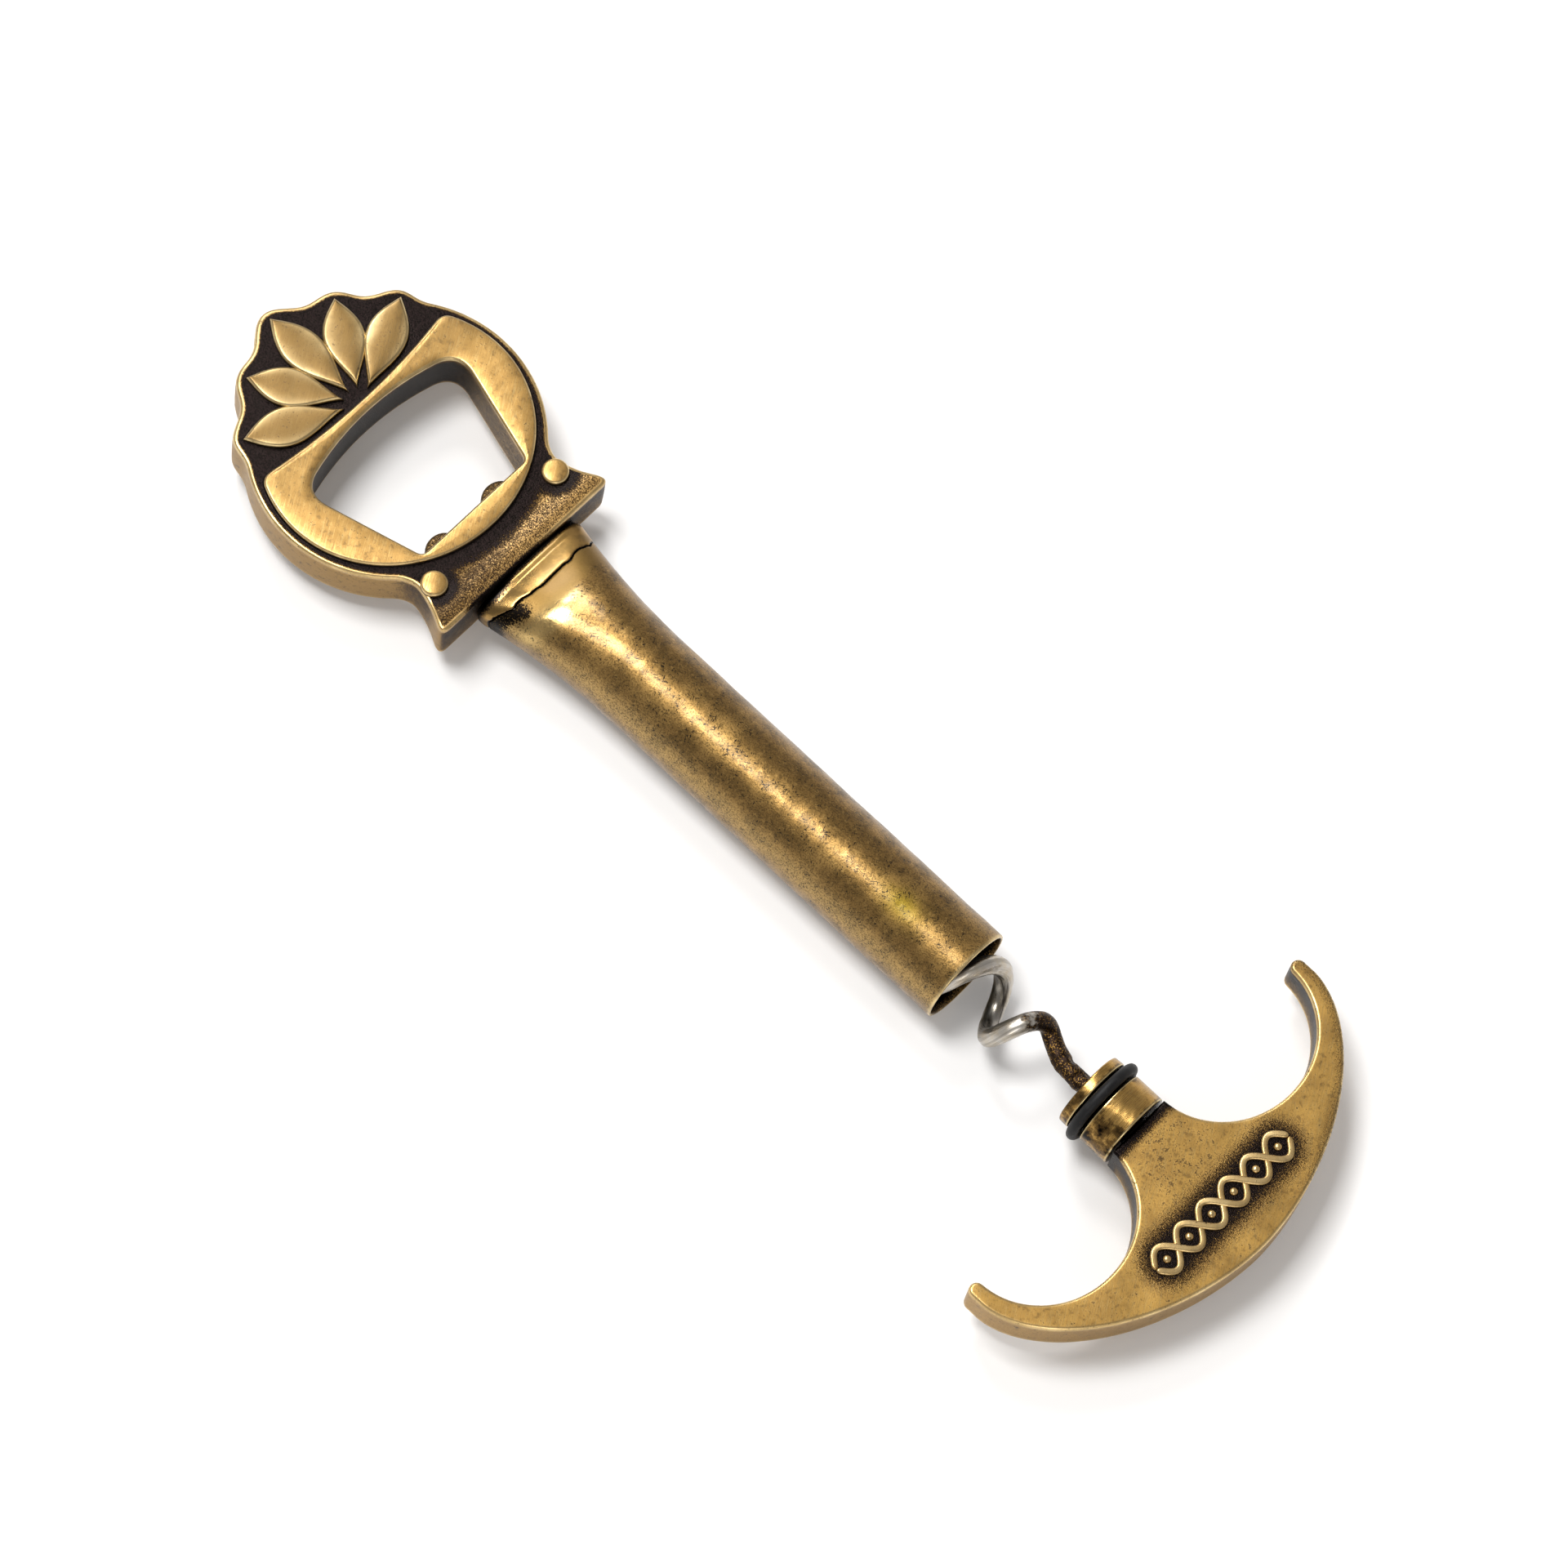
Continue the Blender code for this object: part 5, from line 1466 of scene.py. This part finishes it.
def antique_tube_brass(finish):
    """Drawn brass tube, browned all over, with a painted reflection of the floor along its near lower side.

    The eye sees soft gold-brown mottling, a fine grain, short dark nicks, a smooth gold place beside the
    brazed crack, a yellow-green tint near the mouth and a black bore. A polished band on the flare is
    lightened, partly as a painted highlight. The grain of the real one is about 0.1 mm, too fine to show,
    so it is drawn 0.24 mm.
    """
    material, add, shader = new_material("antique_tube_brass")
    place = add(PLACE)
    mottle = add(NOISE, place, 1 / (2.6 * MM), 4.0, 0.6)
    blotch = add(NOISE, place, 1 / (9.0 * MM), 2.0, 0.55)
    grain = add(NOISE, place, 1 / (0.24 * MM), 3.0, 0.65)
    freckle = add(NOISE, place, 1 / (0.75 * MM), 3.0, 0.6)
    one_way = add(TURNED, place, (0, 0, math.radians(35)), (3.2, 1, 1))
    nicks_one_way = add(NOISE, one_way, 1 / (0.22 * MM), 1.0, 0.55)
    other_way = add(TURNED, place, (0, 0, math.radians(118)), (3.2, 1, 1))
    nicks_other_way = add(NOISE, other_way, 1 / (0.22 * MM), 1.0, 0.55)
    rubbed = add(MARK, attribute_name="smooth")

    # Gold-brown mottling with a dark grain, denser on the flare, and a light band along the near lower side
    # that is a painted reflection of the floor.
    colour = add(COLOUR_MIX, add(SPAN, mottle, 0.32, 0.68, 0, 0.75), finish.tube, finish.tube_dark)
    colour = add(COLOUR_MIX, add(SPAN, blotch, 0.45, 0.62, 0, 0.40), colour, finish.tube_light)
    colour = add(COLOUR_MIX, add(SPAN, freckle, 0.48, 0.70, 0, 0.45), colour, finish.tube_light)
    # Painted reflection of the floor along the near lower side of the tube.
    colour = add(COLOUR_MIX, add(MARK, attribute_name="rub"), colour, finish.satin_light)
    speckle = add(SPAN, grain, 0.44, 0.64, 0, 0.75)
    flare = add(PRODUCT, add(MARK, attribute_name="flare"), add(SPAN, grain, 0.40, 0.62))
    speckle = add(LARGER, speckle, add(PRODUCT, flare, 0.9))
    colour = add(COLOUR_MIX, speckle, colour, finish.tube_dark)

    # Smooth gold beside the crack, the polished ridge, lightened partly as a painted highlight, and the
    # yellow-green tint.
    polish = add(MARK, attribute_name="polish")
    colour = add(COLOUR_MIX, add(PRODUCT, rubbed, 0.85), colour, finish.braze)
    # Partly painted highlight: the polished band is lightened where the flare's highlight lies.
    colour = add(COLOUR_MIX, add(PRODUCT, polish, 0.85), colour, finish.satin_light)
    colour = add(COLOUR_MIX, add(PRODUCT, add(MARK, attribute_name="tint"), 0.95), colour, finish.olive)

    # Dark nicks, the black of the bore and the crack, and the mouth's bright edge.
    nicks = add(LARGER, add(SPAN, nicks_one_way, 0.63, 0.67), add(SPAN, nicks_other_way, 0.63, 0.67))
    nicks = add(PRODUCT, nicks, add(SPAN, mottle, 0.40, 0.60, 0.25, 1.0))
    nicks = add(PRODUCT, nicks, add(SPAN, rubbed, 0.2, 0.8, 1.0, 0.1))
    colour = add(COLOUR_MIX, add(PRODUCT, nicks, 0.92), colour, finish.patina)
    crust = add(SUM, add(MARK, attribute_name="patina"), add(SPAN, grain, 0.3, 0.7, -0.22, 0.22))
    black = add(SPAN, crust, 0.42, 0.72)
    colour = add(COLOUR_MIX, black, colour, finish.patina)
    worn = add(PRODUCT, add(MARK, attribute_name="wear"), add(SPAN, mottle, 0.3, 0.6, 1.0, 0.5))
    colour = add(COLOUR_MIX, worn, colour, finish.bright)

    # Roughness, relief and the lacquer, which is thinnest on the black parts.
    rough = add(SPAN, mottle, 0.35, 0.65, 0.31, 0.40)
    rough = add(NUMBER_MIX, add(SPAN, blotch, 0.44, 0.60, 0, 0.6), rough, 0.47)
    rough = add(NUMBER_MIX, rubbed, rough, 0.42)
    rough = add(NUMBER_MIX, polish, rough, 0.16)
    rough = add(NUMBER_MIX, worn, rough, 0.22)
    normal = add(BUMP, freckle, 0.010 * MM)
    grain_depth = add(PRODUCT, grain, add(SPAN, rubbed, 0.2, 0.8, 1.0, 0.15))
    normal = add(BUMP, grain_depth, 0.012 * MM, normal)
    normal = add(BUMP, add(DIFFERENCE, 1.0, nicks), 0.015 * MM, normal)
    lacquer = add(SPAN, black, 0.0, 0.8, 0.30, 0.04)
    inputs = {
        "Base Color": colour,
        "Roughness": rough,
        "Metallic": 1.0,
        "Normal": normal,
        "Coat Weight": lacquer,
        "Coat Roughness": 0.22,
    }
    fill(shader, inputs)
    return material


def brazed_brass(finish):
    """The brazed end of the tube: brass filler that has flowed and set.

    The eye sees smooth yellow brass, with black left at its foot and in its crack.
    """
    material, add, shader = new_material("brazed_brass")
    place = add(PLACE)
    mottle = add(NOISE, place, 1 / (2.2 * MM), 3.0, 0.6)
    fine = add(NOISE, place, 1 / (0.24 * MM), 3.0, 0.6)
    colour = add(COLOUR_MIX, add(SPAN, mottle, 0.30, 0.60, 0.3, 1.0), finish.satin, finish.braze)
    crust = add(SUM, add(MARK, attribute_name="patina"), add(SPAN, fine, 0.3, 0.7, -0.22, 0.22))
    black = add(SPAN, crust, 0.40, 0.66)
    brown = add(LARGER, add(SPAN, crust, 0.15, 0.5, 0, 0.85), add(SPAN, fine, 0.68, 0.74, 0, 0.6))
    colour = add(COLOUR_MIX, brown, colour, finish.patina_brown)
    colour = add(COLOUR_MIX, black, colour, finish.patina)
    rough = add(SPAN, mottle, 0.3, 0.7, 0.32, 0.42)
    rough = add(NUMBER_MIX, add(MARK, attribute_name="polish"), rough, 0.22)
    normal = add(BUMP, mottle, 0.006 * MM)
    normal = add(BUMP, fine, 0.006 * MM, normal)
    inputs = {
        "Base Color": colour,
        "Roughness": rough,
        "Metallic": 1.0,
        "Normal": normal,
        "Coat Weight": add(SPAN, black, 0.0, 0.8, 0.4, 0.05),
        "Coat Roughness": 0.22,
    }
    fill(shader, inputs)
    return material


def turned_plug_brass(finish):
    """Lathe-turned brass that has been handled.

    The eye sees fine rings round the axis, browned edges, small dark pits and painted shade on the flanks.
    Real tool marks are about 0.02 mm apart, too fine to show, so they are drawn about 0.07 mm apart, which
    shows in close views.
    """
    material, add, shader = new_material("turned_plug_brass")
    place = add(PLACE)
    rings = add(NOISE, add(SCALED, place, (1.0, 0.02, 0.02)), 1 / (0.07 * MM), 2.0, 0.55)
    mottle = add(NOISE, place, 1 / (1.8 * MM), 5.0, 0.65)
    fine = add(NOISE, place, 1 / (0.30 * MM), 3.0, 0.55)
    colour = add(COLOUR_MIX, add(SPAN, mottle, 0.40, 0.66), finish.satin, finish.tube)
    colour = add(COLOUR_MIX, add(SPAN, rings, 0.35, 0.7, 0.0, 0.3), colour, finish.satin_light)
    crust = add(SUM, add(MARK, attribute_name="patina"), add(SPAN, mottle, 0.3, 0.7, -0.3, 0.3))
    pits = add(PRODUCT, add(SPAN, fine, 0.64, 0.70), 0.7)
    brown = add(LARGER, pits, add(SPAN, crust, 0.3, 0.6, 0, 0.85))
    colour = add(COLOUR_MIX, brown, colour, finish.patina_brown)
    black = add(SPAN, crust, 0.62, 0.9)
    colour = add(COLOUR_MIX, black, colour, finish.patina)
    colour = add(COLOUR_MIX, add(PRODUCT, add(MARK, attribute_name="wear"), 0.7), colour, finish.bright)
    rough = add(SPAN, rings, 0.3, 0.7, 0.21, 0.30)
    normal = add(BUMP, rings, 0.004 * MM)
    normal = add(BUMP, mottle, 0.015 * MM, normal)
    inputs = {
        "Base Color": colour,
        "Roughness": rough,
        "Metallic": 1.0,
        "Normal": normal,
    }
    fill(shader, inputs)
    return material


def drawn_worm_steel(finish):
    """Hard-drawn steel wire, bent hot and left bare.

    The eye sees pale steel with dark die streaks that follow the wire, a few rust dots, a bright ground
    point and a bronze-black film with gold specks on the shank. Real draw marks are about 0.02 mm wide,
    too fine to show, so the finest are drawn 0.2 mm wide. Along the wire the streaks' place is in
    millimetres, and across it 1 is the wire's radius of 1.5 mm.
    """
    material, add, shader = new_material("drawn_worm_steel")
    place = add(PLACE)
    marks = [add(MARK, attribute_name=name) for name in ("along", "around_cos", "around_sin")]
    along = add(AXES, *marks)
    streak = add(NOISE, add(SCALED, along, (0.09, 1.0, 1.0)), 1 / 0.42, 4.0, 0.65)
    hair = add(NOISE, add(SCALED, along, (0.02, 1.0, 1.0)), 1 / 0.12, 2.0, 0.55)
    mottle = add(NOISE, place, 1 / (1.6 * MM), 4.0, 0.55)
    fine = add(NOISE, place, 1 / (0.26 * MM), 3.0, 0.6)

    # Pale steel with dark streaks, darkest on the inside of the coil.
    colour = add(COLOUR_MIX, add(SPAN, mottle, 0.35, 0.7, 0.0, 0.5), finish.steel, finish.steel_warm)
    dark = add(LARGER, add(SPAN, streak, 0.50, 0.63, 0, 0.92), add(SPAN, hair, 0.58, 0.72, 0, 0.6))
    inside = add(SPAN, add(MARK, attribute_name="around_cos"), 0.35, -0.75, 0.35, 1.0)
    dark = add(PRODUCT, dark, inside)
    dark = add(LARGER, dark, add(SPAN, add(MARK, attribute_name="around_cos"), -0.1, -0.9, 0, 0.55))
    dark = add(PRODUCT, dark, add(SPAN, add(MARK, attribute_name="tip"), 0.2, 0.9, 1.0, 0.3))
    colour = add(COLOUR_MIX, dark, colour, finish.steel_dark)

    # Rust dots, and the film with gold specks on the shank.
    rust = add(PRODUCT, add(SPAN, fine, 0.67, 0.72), add(SPAN, mottle, 0.5, 0.62, 0, 0.8))
    colour = add(COLOUR_MIX, rust, colour, finish.rust)
    shank = add(SUM, add(MARK, attribute_name="shank"), add(SPAN, mottle, 0.3, 0.7, -0.2, 0.2))
    film = add(SPAN, shank, 0.35, 0.65)
    gold = add(SPAN, fine, 0.55, 0.62)
    film_colour = add(COLOUR_MIX, gold, finish.tarnish, finish.satin_deep)
    colour = add(COLOUR_MIX, film, colour, film_colour)

    # Roughness and relief.
    rough = add(SPAN, streak, 0.35, 0.65, 0.26, 0.42)
    rough = add(NUMBER_MIX, film, rough, 0.38)
    normal = add(BUMP, hair, 0.008 * MM)
    normal = add(BUMP, streak, 0.012 * MM, normal)
    crumbs = add(PRODUCT, fine, add(SPAN, film, 0, 1, 0.1, 1.0))
    normal = add(BUMP, crumbs, 0.09 * MM, normal)
    inputs = {
        "Base Color": colour,
        "Roughness": rough,
        "Metallic": 1.0,
        "Normal": normal,
    }
    fill(shader, inputs)
    return material


def moulded_rubber(finish):
    """Black nitrile rubber, moulded and dusty with use, which gives a wide soft grey highlight."""
    material, add, shader = new_material("moulded_rubber")
    place = add(PLACE)
    dust = add(NOISE, place, 1 / (1.2 * MM), 5.0, 0.7)
    colour = add(COLOUR_MIX, add(SPAN, dust, 0.5, 0.75, 0, 0.25), finish.rubber, finish.rubber_dust)
    rough = add(SPAN, dust, 0.3, 0.7, 0.46, 0.60)
    normal = add(BUMP, dust, 0.02 * MM)
    inputs = {
        "Base Color": colour,
        "Roughness": rough,
        "Specular IOR Level": 0.25,
        "Normal": normal,
    }
    fill(shader, inputs)
    return material


def white_table(finish):
    """A matt white table that is lit to pure white, and keeps its shadows.

    It is a diffuse surface with a little light of its own, which the camera, reflections and clear
    things see.
    """
    material, add, shader = new_material("white_table")
    rays = add(RAYS).node.outputs
    seen = add(LARGER, rays["Is Camera Ray"], rays["Is Glossy Ray"])
    seen = add(LARGER, seen, rays["Is Transmission Ray"])
    inputs = {
        "Base Color": finish.floor,
        "Roughness": 0.9,
        "Emission Color": (1.0, 1.0, 1.0, 1.0),
        "Emission Strength": add(PRODUCT, seen, finish.table_glow),
    }
    fill(shader, inputs)
    return material


MAKERS = {
    "cast_brass": antique_cast_brass,
    "tube_brass": antique_tube_brass,
    "braze": brazed_brass,
    "turned_brass": turned_plug_brass,
    "steel": drawn_worm_steel,
    "rubber": moulded_rubber,
    "table": white_table,
}
MADE = {}


def finish_of(kind):
    """A finish, made when it is first asked for."""
    if kind not in MADE:
        MADE[kind] = MAKERS[kind](settings().finish)
    return MADE[kind]


# Stage: table, lights and camera

# The camera as it was fitted to the tool's outlines: angles, distance in metres, lens in millimetres.
CAMERA_AZIMUTH = math.radians(29.08)
CAMERA_ELEVATION = math.radians(68.62)
CAMERA_ROLL = math.radians(15.35)
CAMERA_DISTANCE = 1.0856
CAMERA_LENS = 168.75
CAMERA_TARGET = Vector((0.00358, 0.00273, 0.0080))

# Between these heights the white band at the horizon turns into the room, as sines of the angle.
HORIZON_BAND = (0.11, 0.17)


def camera_axes():
    """Right, up and back of the camera, from its azimuth, elevation and roll."""
    flat = math.cos(CAMERA_ELEVATION)
    x, y = math.sin(CAMERA_AZIMUTH) * flat, -math.cos(CAMERA_AZIMUTH) * flat
    back = Vector((x, y, math.sin(CAMERA_ELEVATION)))
    level = Vector((0, 0, 1)).cross(back).normalized()
    steep = back.cross(level)
    right = level * math.cos(CAMERA_ROLL) + steep * math.sin(CAMERA_ROLL)
    return right, back.cross(right), back


def make_camera():
    """A long lens that looks at the middle of the tool, rolled as the photograph was."""
    right, up, back = camera_axes()
    lens = bpy.data.cameras.new("camera")
    lens.lens = CAMERA_LENS
    lens.clip_end = 10
    camera = bpy.data.objects.new("camera", lens)
    turned = Matrix((right, up, back)).transposed().to_4x4()
    camera.matrix_world = Matrix.Translation(CAMERA_TARGET + back * CAMERA_DISTANCE) @ turned
    bpy.context.scene.collection.objects.link(camera)
    bpy.context.scene.camera = camera


def make_table(material):
    """A wide flat table under the tool."""
    mesh = bpy.data.meshes.new("table")
    reach = 3.0
    corners = [(-reach, -reach, 0), (reach, -reach, 0), (reach, reach, 0), (-reach, reach, 0)]
    mesh.from_pydata(corners, [], [(0, 1, 2, 3)])
    mesh.materials.append(material)
    table = bpy.data.objects.new("table", mesh)
    bpy.context.scene.collection.objects.link(table)


def make_light(name, direction, distance, size, power):
    """A square softbox that shines at the tool from a direction."""
    lamp = bpy.data.lights.new(name, "AREA")
    lamp.shape = "SQUARE"
    lamp.size = size
    lamp.energy = power
    light = bpy.data.objects.new(name, lamp)
    away = Vector(direction).normalized()
    light.location = CAMERA_TARGET + away * distance
    light.rotation_euler = away.to_track_quat("Z", "Y").to_euler()
    bpy.context.scene.collection.objects.link(light)


def make_room(stage):
    """White room light: white in a low band at the horizon, and from pale above that to greyer overhead."""
    world = bpy.data.worlds.new("white_room")
    world.use_nodes = True
    world.node_tree.nodes.clear()
    add = functools.partial(add_node, world.node_tree)
    height = add(HEIGHT, add(DIRECTION))
    level = add(SPAN, height, 0.15, 0.95, stage.horizon_light, stage.overhead_light)
    strength = add(NUMBER_MIX, add(SPAN, height, *HORIZON_BAND), 1.0, level)
    add(WORLD_OUTPUT, add(BACKGROUND, stage.room_colour, strength))
    bpy.context.scene.world = world


# Operators, one for each group of pieces and one for the stage


class AddOpener(bpy.types.Operator):
    """Add the cast opener head with its petals, beads and lip"""

    bl_idname = "cork_puller.add_opener"
    bl_label = "Add Opener Head"

    def execute(self, context):
        head = settings().head
        brass = finish_of("cast_brass")
        make_plate(head, brass)
        for number, (angle, reach) in enumerate(petals(head)):
            make_petal(number, angle, reach, head, brass)
        make_studs(head, brass)
        return {"FINISHED"}


class AddTube(bpy.types.Operator):
    """Add the tube and the braze that joins it to the head"""

    bl_idname = "cork_puller.add_tube"
    bl_label = "Add Tube"

    def execute(self, context):
        make_tube(settings().tube, finish_of("tube_brass"))
        make_braze(settings().tube, finish_of("braze"))
        return {"FINISHED"}


class AddCorkscrew(bpy.types.Operator):
    """Add the worm, the turned plug and the rubber ring"""

    bl_idname = "cork_puller.add_corkscrew"
    bl_label = "Add Corkscrew"

    def execute(self, context):
        screw = settings().screw
        make_worm(screw, finish_of("steel"))
        make_plug(screw, finish_of("turned_brass"))
        make_ring(screw, finish_of("rubber"))
        return {"FINISHED"}


class AddHandle(bpy.types.Operator):
    """Add the finger handle with its spigot and twist ornament"""

    bl_idname = "cork_puller.add_handle"
    bl_label = "Add Finger Handle"

    def execute(self, context):
        handle = settings().handle
        brass = finish_of("cast_brass")
        make_handle_plate(handle, brass)
        make_spigot(settings().screw, brass)
        for side in (1, -1):
            make_strand(side, handle, brass)
        make_eye_beads(handle, brass)
        return {"FINISHED"}


class AddStage(bpy.types.Operator):
    """Add the white table, the lights and the camera"""

    bl_idname = "cork_puller.add_stage"
    bl_label = "Add Stage"

    def execute(self, context):
        stage = settings().stage
        context.scene.view_settings.view_transform = "Standard"
        make_room(stage)
        make_table(finish_of("table"))
        make_light("key_softbox", (-0.36, -0.10, 0.93), distance=1.2, size=0.42, power=stage.key_power)
        make_light("side_softbox", (-0.58, 0.33, 0.745), distance=1.4, size=0.30, power=stage.side_power)
        make_light("low_softbox", (0.80, -0.80, 0.60), distance=1.4, size=0.60, power=stage.low_power)
        make_camera()
        return {"FINISHED"}


STEPS = (AddOpener, AddTube, AddCorkscrew, AddHandle, AddStage)


class CorkPullerPanel(bpy.types.Panel):
    """Lists the steps that build the cork puller"""

    bl_idname = "VIEW3D_PT_cork_puller"
    bl_label = "Cork Puller"
    bl_space_type = "VIEW_3D"
    bl_region_type = "UI"
    bl_category = "Cork Puller"

    def draw(self, context):
        column = self.layout.column()
        for step in STEPS:
            column.operator(step.bl_idname)


GROUPS = (HeadSizes, TubeSizes, CorkscrewSizes, HandleSizes, Finishes, StageSettings, CorkPuller)


def register():
    """Registers the settings, the operators and the panel."""
    for item in (*GROUPS, *STEPS, CorkPullerPanel):
        bpy.utils.register_class(item)
    bpy.types.Scene.cork_puller = bpy.props.PointerProperty(type=CorkPuller)


def unregister():
    """Takes them out again."""
    del bpy.types.Scene.cork_puller
    for item in reversed((*GROUPS, *STEPS, CorkPullerPanel)):
        bpy.utils.unregister_class(item)


def main():
    """Registers the add-on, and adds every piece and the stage."""
    register()
    bpy.ops.cork_puller.add_opener()
    bpy.ops.cork_puller.add_tube()
    bpy.ops.cork_puller.add_corkscrew()
    bpy.ops.cork_puller.add_handle()
    bpy.ops.cork_puller.add_stage()
    bpy.context.view_layer.update()


if __name__ == "__main__":
    main()
